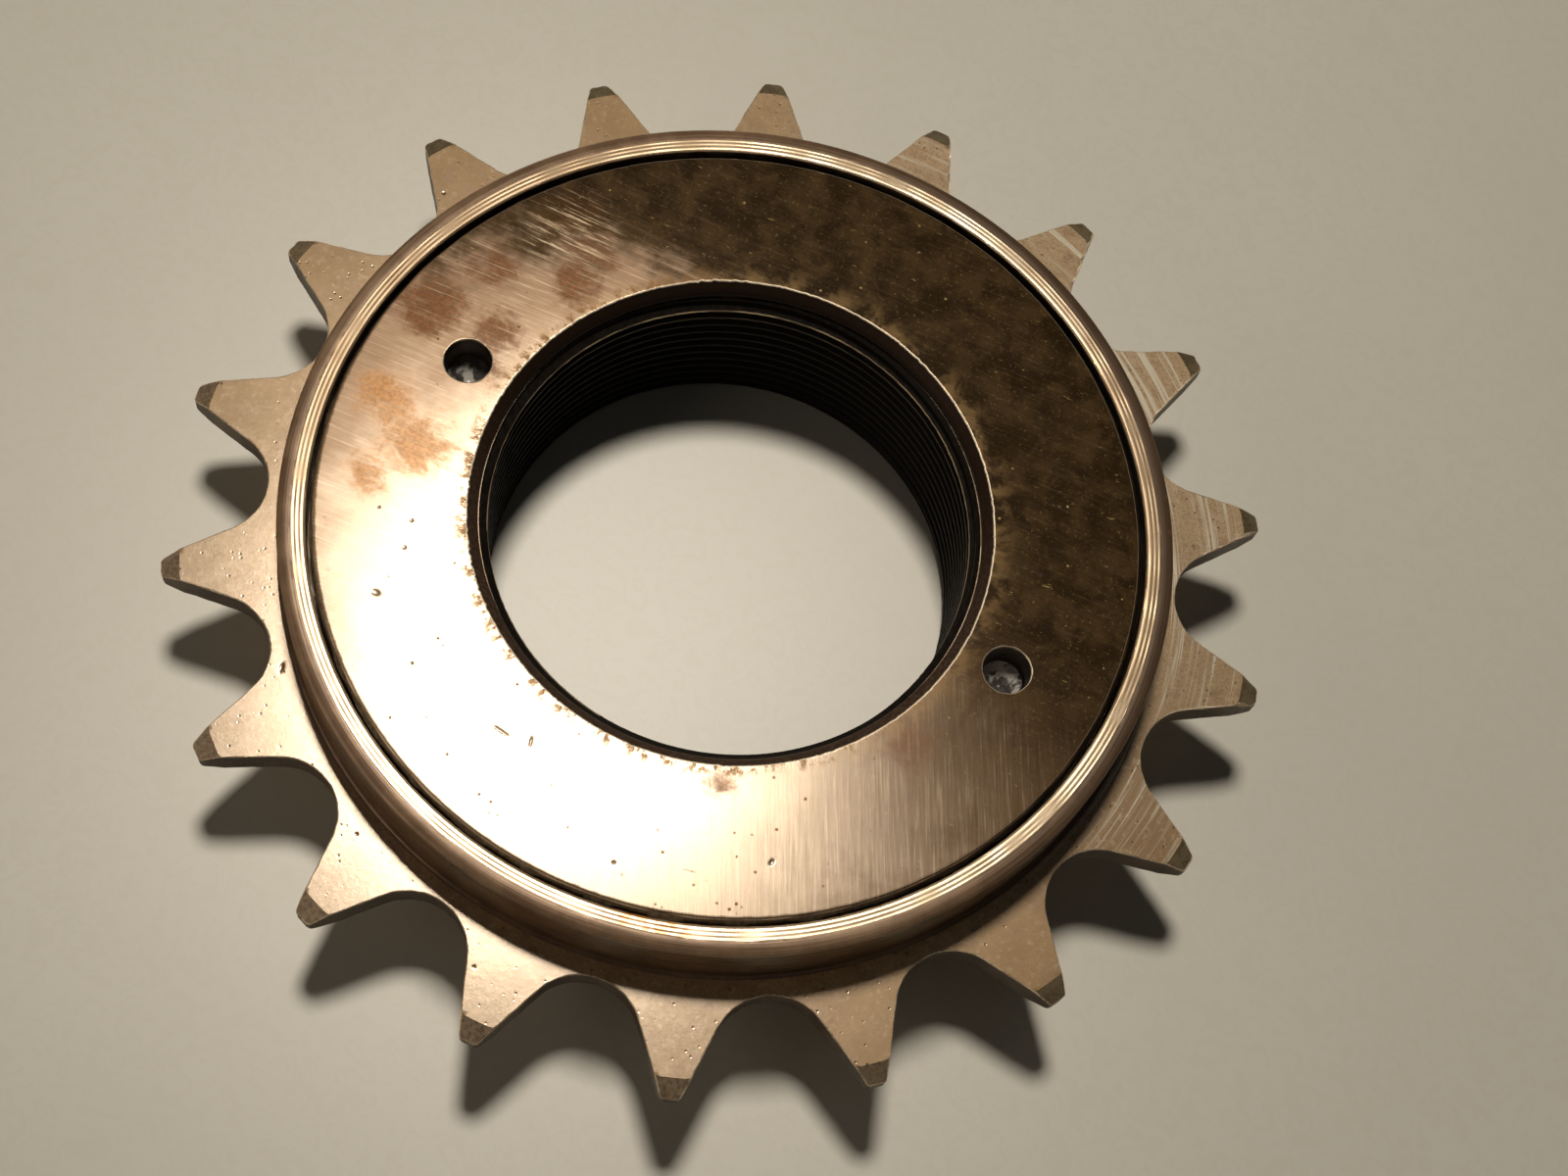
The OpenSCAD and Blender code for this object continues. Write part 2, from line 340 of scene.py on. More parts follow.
def toothed_outline():
    """The whole outline, anticlockwise from the first gap's middle, as an array of points."""
    half = half_tooth()
    mirrored = [(x, -y) for x, y in half[::-1]]
    one = mirrored + half[1:-1]
    ragged = waves(11, 26, 60, 420)
    swell = waves(12, 8, 5, 40)
    points = []
    for k in range(TOOTH_COUNT):
        a = FIRST_TOOTH + TAU * k / TOOTH_COUNT
        c, s = math.cos(a), math.sin(a)
        points += [(x * c - y * s, x * s + y * c) for x, y in one]
    points = np.array(points)
    angles = np.arctan2(points[:, 1], points[:, 0])
    outward = outline_normals(points)
    return points - outward * (0.035 + 0.022 * swell(angles) + 0.013 * ragged(angles))[:, None]


def outline_normals(points):
    """Unit vectors that point out of a closed flat outline, at each of its points."""
    along = np.roll(points, -1, 0) - np.roll(points, 1, 0)
    along /= np.linalg.norm(along, axis=1)[:, None]
    return np.column_stack((along[:, 1], -along[:, 0]))


def plate_height(x, y):
    """How far the tip's chamfer lies below the plate's flat face."""
    return max(0.0, math.hypot(x, y) - CHAMFER_R) * CHAMFER_SLOPE


FRONT_DENTS = [
    Dent(206.6, 33.9, 0.24, 0.08, 0.04),
    Dent(229.2, 32.2, 0.17, 0.03, 0.0, 2.2, 110),
    Dent(201.0, 35.2, 0.13, 0.02),
    Dent(228.0, 35.6, 0.12, 0.02),
    Dent(246.0, 34.2, 0.14, 0.02),
    Dent(252.0, 33.1, 0.12, 0.02),
    Dent(265.5, 33.4, 0.14, 0.02, 0.0, 1.5, 50),
    Dent(272.0, 35.0, 0.12, 0.02),
    Dent(288.0, 35.6, 0.13, 0.02),
    Dent(301.0, 34.1, 0.14, 0.02, 0.0, 1.8, -30),
    Dent(322.0, 34.6, 0.12, 0.02),
    Dent(158.0, 34.8, 0.13, 0.02),
    Dent(129.0, 34.0, 0.12, 0.02),
]
REAR_DENTS = [Dent(33.0, 34.5, 0.2, 0.06, 0.03), Dent(188.0, 34.2, 0.16, 0.05, 0.0, 1.6, 40)]


def plate_face(shape, outline_ring, circle_ring, face_z, up, dents, seed):
    """One flat side of the toothed plate, between the boss and the outline's inset edge."""
    outline = [shape.points[i][:2] for i in outline_ring]
    circle = [shape.points[i][:2] for i in circle_ring]
    n, m = len(outline), len(circle)
    edges = [(i, (i + 1) % n) for i in range(n)]
    edges += [(n + i, n + (i + 1) % m) for i in range(m)]
    polar = sorted((math.atan2(y, x), math.hypot(x, y)) for x, y in outline)
    angles = np.array([a for a, _ in polar])
    radii = np.array([r for _, r in polar])
    inner = math.hypot(*circle[0])

    def room(x, y):
        return np.interp(math.atan2(y, x), angles, radii, period=TAU) - math.hypot(x, y)

    points = list(outline) + list(circle)
    # A line of points along each tip's chamfer, from flank to flank, keeps that edge crisp
    for k in range(TOOTH_COUNT):
        middle = FIRST_TOOTH + TAU * k / TOOTH_COUNT
        flanks = []
        for side in (1, -1):
            near = [i for i, (x, y) in enumerate(outline)
                    if 0 < side * ((math.atan2(y, x) - middle + math.pi) % TAU - math.pi) < 0.09]
            flanks.append(min(near, key=lambda i: abs(math.hypot(*outline[i]) - CHAMFER_R)))
        high, low = (math.atan2(outline[i][1], outline[i][0]) for i in flanks)
        span = (high - low + math.pi) % TAU - math.pi
        line = [flanks[1]]
        for i in range(1, 7):
            a = low + span * i / 7
            line.append(len(points))
            points.append((CHAMFER_R * math.cos(a), CHAMFER_R * math.sin(a)))
        line.append(flanks[0])
        edges += list(zip(line, line[1:]))
    loose = scatter(seed, 0.42, inner + 0.3, TIP_R, lambda x, y: room(x, y) > 0.3)
    for dent in dents:
        loose = [p for p in loose if dent.distance(*p) > 2.3]
        loose += [p for p in dent.points() if room(*p) > 0.05 and math.hypot(*p) > inner + 0.05]
    points += loose
    points, triangles = fill(
        points, edges,
        lambda x, y: room(x, y) > -1e-4 and math.hypot(x, y) > inner * math.cos(TAU / m),
    )
    names = list(outline_ring) + list(circle_ring)
    fresh = []
    wear = []
    for x, y in points[n + m:]:
        bump = sum(d.height(x, y) for d in dents)
        fresh.append((x, y, face_z + up * (bump - plate_height(x, y))))
        wear.append(sum(d.shade(x, y) for d in dents))
    names += shape.add(fresh, wear)
    for t in triangles:
        r = sum(math.hypot(*points[i]) for i in t) / 3
        shape.face([names[i] for i in t], TIP if r > CHAMFER_R else PLATE)


def toothed_edge(shape, outline):
    """The flanks and their broken edges. Returns the top and bottom inset rings."""
    outward = outline_normals(outline)
    angles = np.arctan2(outline[:, 1], outline[:, 0])
    burr = waves(21, 30, 70, 500)
    slow = waves(22, 10, 9, 60)
    clockwise = outward[:, 0] * np.sin(angles) - outward[:, 1] * np.cos(angles)
    raised = np.clip(clockwise, 0, 1) * np.clip((np.cos(angles - BURR_MIDDLE) - 0.55) * 3, 0, 1)
    fall = np.array([plate_height(x, y) for x, y in outline])

    def edge_rings(face_z, up, seed):
        """The broken edge along one face: its top, middle and low rings and a flat guard ring."""
        ragged = waves(seed, 24, 80, 520)
        width = np.clip(0.08 + 0.02 * slow(angles + seed) + 0.02 * ragged(angles), 0.04, 0.14)
        if up > 0:
            width += raised * np.clip(0.07 + 0.12 * ragged(angles + 1), 0, 0.22)
        inset = outline - outward * width[:, None]
        middle = outline - outward * (width * 0.3)[:, None]
        lift = np.clip(burr(angles + seed), 0, 1) * 0.012 + raised * 0.04 * (up > 0)
        flat = inset - outward * 0.05
        inset_fall, flat_fall = (np.array([plate_height(x, y) for x, y in ring]) for ring in (inset, flat))
        guard = shape.add(np.column_stack((flat, face_z - up * flat_fall)))
        top = shape.add(np.column_stack((inset, face_z - up * inset_fall)))
        mid = shape.add(
            np.column_stack((middle, face_z - up * (fall + width * 0.3 - lift))), 1.0
        )
        low = shape.add(np.column_stack((outline, face_z - up * (fall + width))), 0.6)
        return top, mid, low, guard

    top = edge_rings(PLATE_HIGH_Z, 1, 23)
    bottom = edge_rings(PLATE_LOW_Z, -1, 24)
    for rings in (top, bottom):
        for i in range(len(outline)):
            tip = math.hypot(*shape.points[rings[0][i]][:2]) > CHAMFER_R
            j = (i + 1) % len(outline)
            shape.face((rings[3][i], rings[3][j], rings[0][j], rings[0][i]), TIP if tip else PLATE)
    shape.bridge(top[0], top[1], BURR)
    shape.bridge(top[1], top[2], BURR)
    last = top[2]
    rough = waves(25, 20, 90, 480)
    for share in (0.33, 0.66):
        upper = np.array([shape.points[i] for i in top[2]])
        lower = np.array([shape.points[i] for i in bottom[2]])
        side = upper * (1 - share) + lower * share
        side[:, :2] -= outward * (0.012 + 0.012 * rough(angles + share))[:, None]
        ring = shape.add(side)
        shape.bridge(last, ring, FLANK)
        last = ring
    shape.bridge(last, bottom[2], FLANK)
    shape.bridge(bottom[2], bottom[1], BURR)
    shape.bridge(bottom[1], bottom[0], BURR)
    return top[3], bottom[3]


def ratchet_rows():
    """The directions of all boss points, which fit the ratchet, and the ratchet's radius at each."""
    start, root, tip, end = (math.radians(a) for a in (2.9, 17.2, 19.7, 20.9))
    angles, radii = [], []
    for k in range(RATCHET_COUNT):
        base = PAWL_ANGLE + TAU * k / RATCHET_COUNT
        for low, high, r0, r1, n in (
            (start, root, RATCHET_TIP_R, RATCHET_ROOT_R, 24),
            (root, tip, RATCHET_ROOT_R, RATCHET_TIP_R, 6),
            (tip, end, RATCHET_TIP_R, RATCHET_TIP_R, 4),
        ):
            for i in range(n):
                angles.append(base + low + (high - low) * i / n)
                radii.append(r0 + (r1 - r0) * i / n)
    return np.array(angles), np.array(radii)


def arc(centre_r, centre_z, radius, start, end, steps):
    """Profile points along an arc, with both ends, angles in degrees from +R."""
    found = []
    for i in range(steps + 1):
        a = math.radians(start + (end - start) * i / steps)
        found.append((centre_r + radius * math.cos(a), centre_z + radius * math.sin(a)))
    return found


def rim_profile():
    """The front rim's top from its outer edge inwards: turned grooves between low ridges.

    Each point carries how far up a ridge it is, from -1 to 1."""
    outer, inner = SHOULDER_OUT_R - SHOULDER_WIDTH - 0.03, RIM_LIP_R + 0.09
    steps = 26
    found = []
    for i in range(steps + 1):
        r = outer + (inner - outer) * i / steps
        ridge = math.cos(TAU * (r - RIDGE_R) / RIDGE_PITCH)
        edge = 0.04 * math.exp(-((r - inner) / 0.06) ** 2)
        found.append((r, RIM_Z - 0.018 - edge, ridge))
    return found


def toothed_shell_piece(materials):
    """The shell from its front face over the rim, down the inside and back over the rear."""
    shape = Shape()
    outline = toothed_outline()
    top_ring, bottom_ring = toothed_edge(shape, outline)
    angles, ratchet = ratchet_rows()
    wobble = waves(31, 12, 3, 90)
    fine = waves(32, 30, 60, 340)
    nicks = waves(33, 40, 20, 240)
    worn = waves(34, 14, 4, 70)

    def lathe(profile, finish, last, wear=0.0, shake=0.0):
        return shape.lathe(profile, angles, finish, last, wear, lambda z: shake * fine(angles + 3 * z))

    # Front face of the boss, from the plate up to the rim
    corner_r = BOSS_BASE_R + BOSS_FILLET
    guard = shape.ring(corner_r + 0.15, PLATE_HIGH_Z, angles)
    first = shape.ring(corner_r, PLATE_HIGH_Z, angles)
    shape.bridge(guard, first, PLATE)
    plate_face(shape, top_ring, guard, PLATE_HIGH_Z, 1, FRONT_DENTS, 41)
    last = lathe(arc(corner_r, PLATE_HIGH_Z + BOSS_FILLET, BOSS_FILLET, 270, 180, 4)[1:], BOSS, first)
    wall = [(BOSS_BASE_R + (SHOULDER_OUT_R - BOSS_BASE_R) * s,
             PLATE_HIGH_Z + (RIM_Z - SHOULDER_DROP - PLATE_HIGH_Z) * s) for s in (0.25, 0.5, 0.75, 0.94)]
    last = lathe(wall, BOSS, last, 0.0, 0.004)
    shoulder = []
    for i in range(9):
        a = math.radians(90 - 90 * i / 8)
        shoulder.append((SHOULDER_OUT_R - SHOULDER_WIDTH * (1 - math.sin(a)),
                         RIM_Z - 0.02 - SHOULDER_DROP * (1 - math.cos(a))))
    last = lathe(shoulder, BOSS, last, 0.1, 0.002)
    for r, z, ridge in rim_profile():
        depth = 0.6 + 0.5 * worn(angles)
        z = np.minimum(z + 0.006 * wobble(angles) + 0.007 * ridge * depth, RIM_Z)
        # Negative wear at the bottoms of the grooves gives them painted shade
        ring = shape.ring(r, z, angles, np.where(ridge < -0.75, -0.18 * depth, 0.0))
        shape.bridge(last, ring, RIM)
        last = ring
    ragged = np.clip(nicks(angles), -0.3, 1)
    ring = shape.ring(RIM_LIP_R + 0.02 + 0.02 * ragged, RIM_Z - 0.12, angles, 0.5)
    shape.bridge(last, ring, RIM)
    last = ring

    # Inside: front rim, race, ratchet, race, rear rim
    arc_reach = math.degrees(math.asin(SHOULDER_STEP / RACE_R))
    wall_reach = math.degrees(math.acos((RATCHET_WALL_R - RACE_CIRCLE_R) / RACE_R))
    front_race = arc(RACE_CIRCLE_R, FRONT_ROW_Z, RACE_R, -arc_reach, -wall_reach, 7)
    rear_race = arc(RACE_CIRCLE_R, REAR_ROW_Z, RACE_R, wall_reach, arc_reach, 7)
    last = lathe([(RIM_LIP_R, RIM_Z - 0.3), (RIM_INNER_R, RIM_Z - 0.4), (RIM_INNER_R, RIM_Z - 1.8),
                  (RIM_INNER_R, FRONT_ROW_Z - SHOULDER_STEP)], INSIDE, last)
    last = lathe(front_race, INSIDE, last)
    last = lathe([(RATCHET_WALL_R, RATCHET_HIGH_Z)], INSIDE, last)
    for z in (RATCHET_HIGH_Z, RATCHET_LOW_Z):
        ring = shape.ring(ratchet, z, angles)
        shape.bridge(last, ring, INSIDE)
        last = ring
    last = lathe([(RATCHET_WALL_R, RATCHET_LOW_Z)], INSIDE, last)
    last = lathe(rear_race, INSIDE, last)
    last = lathe([(RIM_INNER_R, REAR_ROW_Z + SHOULDER_STEP), (RIM_INNER_R, SHELL_REAR_Z + 1.0),
                  (RIM_INNER_R, SHELL_REAR_Z + 0.15)], INSIDE, last)

    # Rear rim and the boss's rear part
    rear = [(RIM_INNER_R + 0.1, SHELL_REAR_Z + 0.02)]
    rear += [(RIM_INNER_R + 0.1 + 1.0 * i / 8, SHELL_REAR_Z + 0.015 * (1 - math.cos(i * 2.4))) for i in range(1, 8)]
    rear += [(BOSS_R - RIM_CHAMFER, SHELL_REAR_Z)]
    last = lathe(rear, RIM, last, 0.2)
    last = lathe([(BOSS_R - 0.26, SHELL_REAR_Z + RIM_CHAMFER * 0.34),
                  (BOSS_R - 0.12, SHELL_REAR_Z + RIM_CHAMFER * 0.62),
                  (BOSS_R, SHELL_REAR_Z + RIM_CHAMFER)], BOSS, last, 0.25, 0.006)
    low_wall = [(BOSS_R + (BOSS_BASE_R - BOSS_R) * s,
                 SHELL_REAR_Z + RIM_CHAMFER + (PLATE_LOW_Z - BOSS_FILLET - SHELL_REAR_Z - RIM_CHAMFER) * s)
                for s in (0.3, 0.6, 1.0)]
    last = lathe(low_wall, BOSS, last, 0.0, 0.006)
    last = lathe(arc(corner_r, PLATE_LOW_Z - BOSS_FILLET, BOSS_FILLET, 180, 90, 4)[1:-1], BOSS, last)
    final = shape.ring(corner_r, PLATE_LOW_Z, angles)
    guard = shape.ring(corner_r + 0.15, PLATE_LOW_Z, angles)
    shape.bridge(last, final, BOSS)
    shape.bridge(final, guard, PLATE)
    plate_face(shape, bottom_ring, guard, PLATE_LOW_Z, -1, REAR_DENTS, 42)
    return shape.object("toothed_shell_visual", materials)


# ---------------------------------------------------------------- bearing cone

CONE_DENTS = [
    Dent(257.0, 22.4, 0.11, 0.03, 0.0, 6.0, -4),
    Dent(262.0, 21.6, 0.10, 0.03, 0.0, 4.0, -70),
    Dent(226.0, 25.0, 0.22, 0.03, 0.0, 1.4, 10),
    Dent(214.0, 22.0, 0.12, 0.02),
    Dent(219.0, 22.6, 0.14, 0.02),
    Dent(211.5, 24.2, 0.10, 0.02),
    Dent(239.0, 24.4, 0.10, 0.02),
    Dent(283.0, 26.2, 0.12, 0.03),
    Dent(306.0, 24.9, 0.15, 0.03, 0.0, 1.5, 80),
    Dent(12.0, 24.1, 0.12, 0.03),
    Dent(88.0, 25.2, 0.14, 0.03, 0.0, 1.4, 60),
]
# Direction, radius, reach and strength of each stretch of rust on the cone's face
RUST_SPOTS = [
    (174.5, 26.4, 4.6, 1.3), (163.0, 25.4, 3.6, 1.0), (192.5, 25.2, 3.8, 1.15), (199.0, 22.4, 4.4, 1.25),
    (172.5, 21.6, 3.4, 1.1), (153.0, 20.8, 3.6, 1.2), (147.0, 22.6, 3.4, 1.15), (148.0, 25.8, 4.2, 0.9),
    (-24.0, 20.4, 3.5, 1.0), (-62.0, 19.4, 2.2, 0.8), (206.0, 25.0, 3.4, 0.8), (180.0, 20.2, 2.8, 0.9),
]


def cone_face(shape, outer_ring, bore_ring, hole_rings):
    """The flat face between the outer edge, the bore and the two holes, with its pits and cuts."""
    groups = [outer_ring, bore_ring] + hole_rings
    points, edges, names = [], [], []
    for ring in groups:
        first = len(points)
        points += [shape.points[i][:2] for i in ring]
        edges += [(first + i, first + (i + 1) % len(ring)) for i in range(len(ring))]
        names += ring
    bore = np.array([shape.points[i][:2] for i in bore_ring])
    bore_angles = np.arctan2(bore[:, 1], bore[:, 0])
    order = np.argsort(bore_angles)
    bore_angles, bore_radii = bore_angles[order], np.hypot(bore[:, 0], bore[:, 1])[order]
    outer = math.hypot(*points[0])
    centres = [(PIN_CIRCLE_R, 0.0), (-PIN_CIRCLE_R, 0.0)]
    hole_r = math.hypot(shape.points[hole_rings[0][0]][0] - centres[0][0], shape.points[hole_rings[0][0]][1])

    def room(x, y):
        r = math.hypot(x, y)
        low = np.interp(math.atan2(y, x), bore_angles, bore_radii, period=TAU)
        holes = min(math.hypot(x - cx, y - cy) for cx, cy in centres) - hole_r
        return min(r - low, outer - r, holes)

    loose = scatter(51, 0.75, BORE_EDGE_R + 0.3, outer, lambda x, y: room(x, y) > 0.3)
    for dent in CONE_DENTS:
        loose = [p for p in loose if dent.distance(*p) > 2.3]
        loose += [p for p in dent.points() if room(*p) > 0.05]
    points += loose
    points, triangles = fill(points, edges, lambda x, y: room(x, y) > -2e-3)
    fresh = [(x, y, CONE_FACE_Z + sum(d.height(x, y) for d in CONE_DENTS)) for x, y in points[len(names):]]
    names += shape.add(fresh, [sum(d.shade(x, y) for d in CONE_DENTS) for x, y in points[len(names):]])
    for t in triangles:
        shape.face([names[i] for i in t], CONE_FACE)


def pin_hole_rings(shape, side):
    """A blind drilled hole with a broken edge and a drill point. Returns the ring in the face."""
    n = 48
    angles = np.linspace(0, TAU, n, endpoint=False)
    ragged = waves(61 + side, 6, 3, 12)

    def ring(r, z, wear=0.0):
        return shape.add(np.column_stack((
            side * PIN_CIRCLE_R + r * np.cos(angles), r * np.sin(angles), np.broadcast_to(z, n),
        )), wear)

    lip = PIN_R + 0.09 + 0.025 * ragged(angles)
    top = ring(lip + 0.07, CONE_FACE_Z)
    brink = ring(lip + 0.03, CONE_FACE_Z)
    rim = ring(lip, CONE_Z - 0.018, 1.0)
    last = ring(PIN_R + 0.03, CONE_Z - 0.06, 1.0)
    shape.bridge(top, brink, CONE_FACE)
    shape.bridge(brink, rim, CONE_FACE)
    shape.bridge(rim, last, HOLE_SIDE)
    for r, z in ((PIN_R, CONE_Z - 0.16), (PIN_R, CONE_Z - 1.2), (PIN_R, CONE_Z - PIN_DEPTH + 0.1),
                 (PIN_R - 0.12, CONE_Z - PIN_DEPTH - 0.05)):
        following = ring(r, z)
        shape.bridge(last, following, HOLE_SIDE)
        last = following
    slope = 1 / math.tan(math.radians(59))
    for r in (1.1, 0.6, 0.2):
        following = ring(r, CONE_Z - PIN_DEPTH - (PIN_R - r) * slope)
        shape.bridge(last, following, HOLE_BOTTOM)
        last = following
    centre = shape.add([(side * PIN_CIRCLE_R, 0.0, CONE_Z - PIN_DEPTH - PIN_R * slope)])[0]
    for i in range(n):
        shape.face((last[i], last[(i + 1) % n], centre), HOLE_BOTTOM)
    return top


def bearing_cone_piece(materials):
    """The cone from its bore's worn front edge down the bore, round underneath and up its outside."""
    shape = Shape()
    n = 600
    angles = np.linspace(0, TAU, n, endpoint=False)
    ragged = waves(52, 34, 30, 290)
    chips = waves(53, 16, 6, 60)
    outer_rag = waves(54, 30, 20, 200)

    def chip_share(middle, width):
        """How much a worn stretch of the bore's edge takes away, around one direction."""
        gap = np.abs((angles - math.radians(middle) + math.pi) % TAU - math.pi)
        return np.exp(-(gap / math.radians(width)) ** 2)

    worn = 0.35 + 0.65 * np.clip(chips(angles), 0, 1)
    worn += 1.4 * chip_share(-139.0, 16) + 1.2 * chip_share(124.4, 5) + 0.6 * chip_share(229, 10)
    edge = BORE_EDGE_R + 0.03 + 0.03 * worn * (1 + ragged(angles))
    bore = shape.ring(edge + 0.11, CONE_FACE_Z, angles)
    brink = shape.ring(edge + 0.05, CONE_FACE_Z, angles)
    crest = shape.ring(edge, CONE_Z - 0.02, angles, 1.0)
    lip_edge = shape.ring(edge - 0.05, CONE_Z - 0.06, angles, 0.9)
    under = shape.ring(edge - 0.08, CONE_Z - 0.095, angles)
    shape.bridge(bore, brink, CONE_FACE)
    shape.bridge(brink, crest, CONE_FACE)
    shape.bridge(crest, lip_edge, CONE_CHAMFER)
    shape.bridge(lip_edge, under, CONE_CHAMFER)
    last = under
    for share, shake in ((0.35, 0.02), (0.7, 0.015)):
        r = BORE_EDGE_R + (LIP_R - BORE_EDGE_R) * share + shake * ragged(angles + share)
        ring = shape.ring(r, CONE_Z - (BORE_EDGE_R - LIP_R) * share, angles)
        shape.bridge(last, ring, CONE_CHAMFER)
        last = ring

    def lathe(profile, finish, last, shake=0.0):
        return shape.lathe(profile, angles, finish, last, 0.0, lambda z: shake * chips(angles + 5 * z))

    lip_z = CONE_Z - (BORE_EDGE_R - LIP_R)
    lip_low = NECK_Z + 0.05
    flange_z = 13.05
    reach = math.degrees(math.acos((RACE_LAND_R - RACE_CIRCLE_R) / RACE_R))
    last = lathe([(LIP_R + 0.04, lip_z + 0.04), (LIP_R, lip_z - 0.06), (LIP_R, lip_low + 0.05),
                  (LIP_R + 0.05, lip_low)], CONE_CHAMFER, last)
    last = lathe([(NECK_R + 0.05, lip_low), (NECK_R + 0.05, CONE_LOW_Z), (24.2, CONE_LOW_Z),
                  (24.2, FRONT_ROW_Z)], CONE_UNDER, last)
    last = lathe(arc(RACE_CIRCLE_R, FRONT_ROW_Z, RACE_R, 180, reach, 7), CONE_UNDER, last)
    last = lathe([(RACE_LAND_R, flange_z), (CONE_R - 0.1, flange_z), (CONE_R, flange_z + 0.12)], CONE_UNDER, last)
    last = lathe([(CONE_R, CONE_Z - 1.1)], CONE_UNDER, last)
    last = lathe([(CONE_R + 0.34, CONE_Z - 0.9), (CONE_R + 0.38, CONE_Z - 0.62),
                  (CONE_R + 0.28, CONE_Z - 0.40), (CONE_R + 0.14, CONE_Z - 0.20)], GREASE, last, 0.025)
    drop = 0.02 * np.clip(outer_rag(angles), 0, 1)
    for r, z, wear in ((CONE_R + 0.04, CONE_Z - 0.12, 0.0), (CONE_R + 0.035, CONE_Z - 0.05, 0.3),
                       (CONE_R + 0.01, CONE_Z - 0.018, 0.3), (CONE_R - 0.03, CONE_FACE_Z, 0.0),
                       (CONE_R - 0.09, CONE_FACE_Z, 0.0)):
        ring = shape.ring(r - drop, z, angles, wear)
        shape.bridge(last, ring, CONE_FACE)
        last = ring
    holes = [pin_hole_rings(shape, side) for side in (1, -1)]
    cone_face(shape, last, bore, holes)
    return shape.object("bearing_cone_visual", materials)


# ---------------------------------------------------------------- inner body

def pawl_pocket():
    """Outline of one pawl's pocket, with its pivot on +X."""
    pivot, socket, lip = 22.9, 1.78, 0.5
    floor, start, end, outside = 20.35, 1.0, 8.9, PAWL_BAND_R + 1.0
    a0 = -math.asin(lip / socket)
    points = [(outside, -lip)]
    a1 = math.atan2(0.504, -1.707) - TAU
    for i in range(17):
        a = a0 + (a1 - a0) * i / 16
        points.append((pivot + socket * math.cos(a), socket * math.sin(a)))
    return points + [(floor, start), (floor, end), (outside, end)]


def pocket_cutter(k):
    """A solid of one pawl's pocket, to be cut out of the inner body."""
    turn = PAWL_ANGLE + k * math.pi
    c, s = math.cos(turn), math.sin(turn)
    outline = [(x * c - y * s, x * s + y * c) for x, y in pawl_pocket()]
    n = len(outline)
    shape = Shape()
    low = shape.add([(x, y, 5.1) for x, y in outline])
    high = shape.add([(x, y, BAND_TOP_Z + 1) for x, y in outline])
    shape.bridge(low, high)
    shape.face(low[::-1])
    shape.face(high)
    return shape.object(f"pocket_cutter_{k}", [], 30)


def thread_rows():
    """Share of a pitch and depth of each row of points within one turn of the thread."""
    return [(0.0, 0.02), (0.05, 0.0), (0.2, 0.0), (0.25, 0.04), (0.40, 0.5), (0.555, 0.97),
            (0.625, 1.0), (0.694, 0.97), (0.85, 0.5)]


def inner_body_piece(materials):
    """The turned body with its rear flange, race and pawl pockets, and the thread put into its bore."""
    n = 360
    angles = np.linspace(0, TAU, n, endpoint=False)
    outside = Shape()
    reach = math.degrees(math.acos((RACE_LAND_R - RACE_CIRCLE_R) / RACE_R))
    profile = [(THREAD_REAR_R, 0.0), (20.0, 0.004), (22.5, 0.0), (25.0, 0.004), (REAR_FLANGE_R - 0.3, 0.0),
               (REAR_FLANGE_R - 0.09, 0.09), (REAR_FLANGE_R, 0.3), (REAR_FLANGE_R, 1.3), (RACE_LAND_R, 1.3)]
    profile += arc(RACE_CIRCLE_R, REAR_ROW_Z, RACE_R, -reach, -180, 7)
    profile += [(PAWL_BAND_R, REAR_ROW_Z), (PAWL_BAND_R, BAND_TOP_Z), (NECK_R, BAND_TOP_Z),
                (NECK_R, NECK_Z), (THREAD_FRONT_R, NECK_Z)]
    first = last = outside.ring(*profile[0], angles)
    for i, (r, z) in enumerate(profile[1:]):
        ring = outside.ring(r, z, angles)
        outside.bridge(last, ring, FLANGE if i < 7 else BODY_SIDE)
        last = ring
    outside.bridge(last, first, PLAIN_BORE)
    body = outside.object("inner_body_visual", materials)
    cutters = [pocket_cutter(k) for k in range(2)]
    for cutter in cutters:
        cut = body.modifiers.new("pocket", "BOOLEAN")
        cut.operation, cut.solver, cut.object = "DIFFERENCE", "EXACT", cutter
    graph = bpy.context.evaluated_depsgraph_get()
    carved = bpy.data.meshes.new_from_object(body.evaluated_get(graph), depsgraph=graph)
    body.modifiers.clear()
    body.data = carved
    for cutter in cutters:
        bpy.data.objects.remove(cutter)

    # The plain bore gives way to the thread, which ends on the same two rings
    bm = bmesh.new()
    bm.from_mesh(carved)
    plain = [f for f in bm.faces if f.material_index == PLAIN_BORE]
    bmesh.ops.delete(bm, geom=plain, context="FACES")
    bm.to_mesh(carved)
    bm.free()
    thread = thread_shape(angles)
    points = [(x / MM, y / MM, z / MM) for x, y, z in (v.co for v in carved.vertices)]
    whole = Shape()
    whole.add(points)
    for face in carved.polygons:
        whole.face(face.vertices, face.material_index)
    offset = len(points)
    whole.points += thread.points
    whole.wear += thread.wear
    for corners, finish in zip(thread.faces, thread.finish):
        whole.face([offset + c for c in corners], finish)
    bpy.data.objects.remove(body)
    return whole.object("inner_body_visual", materials, 28)


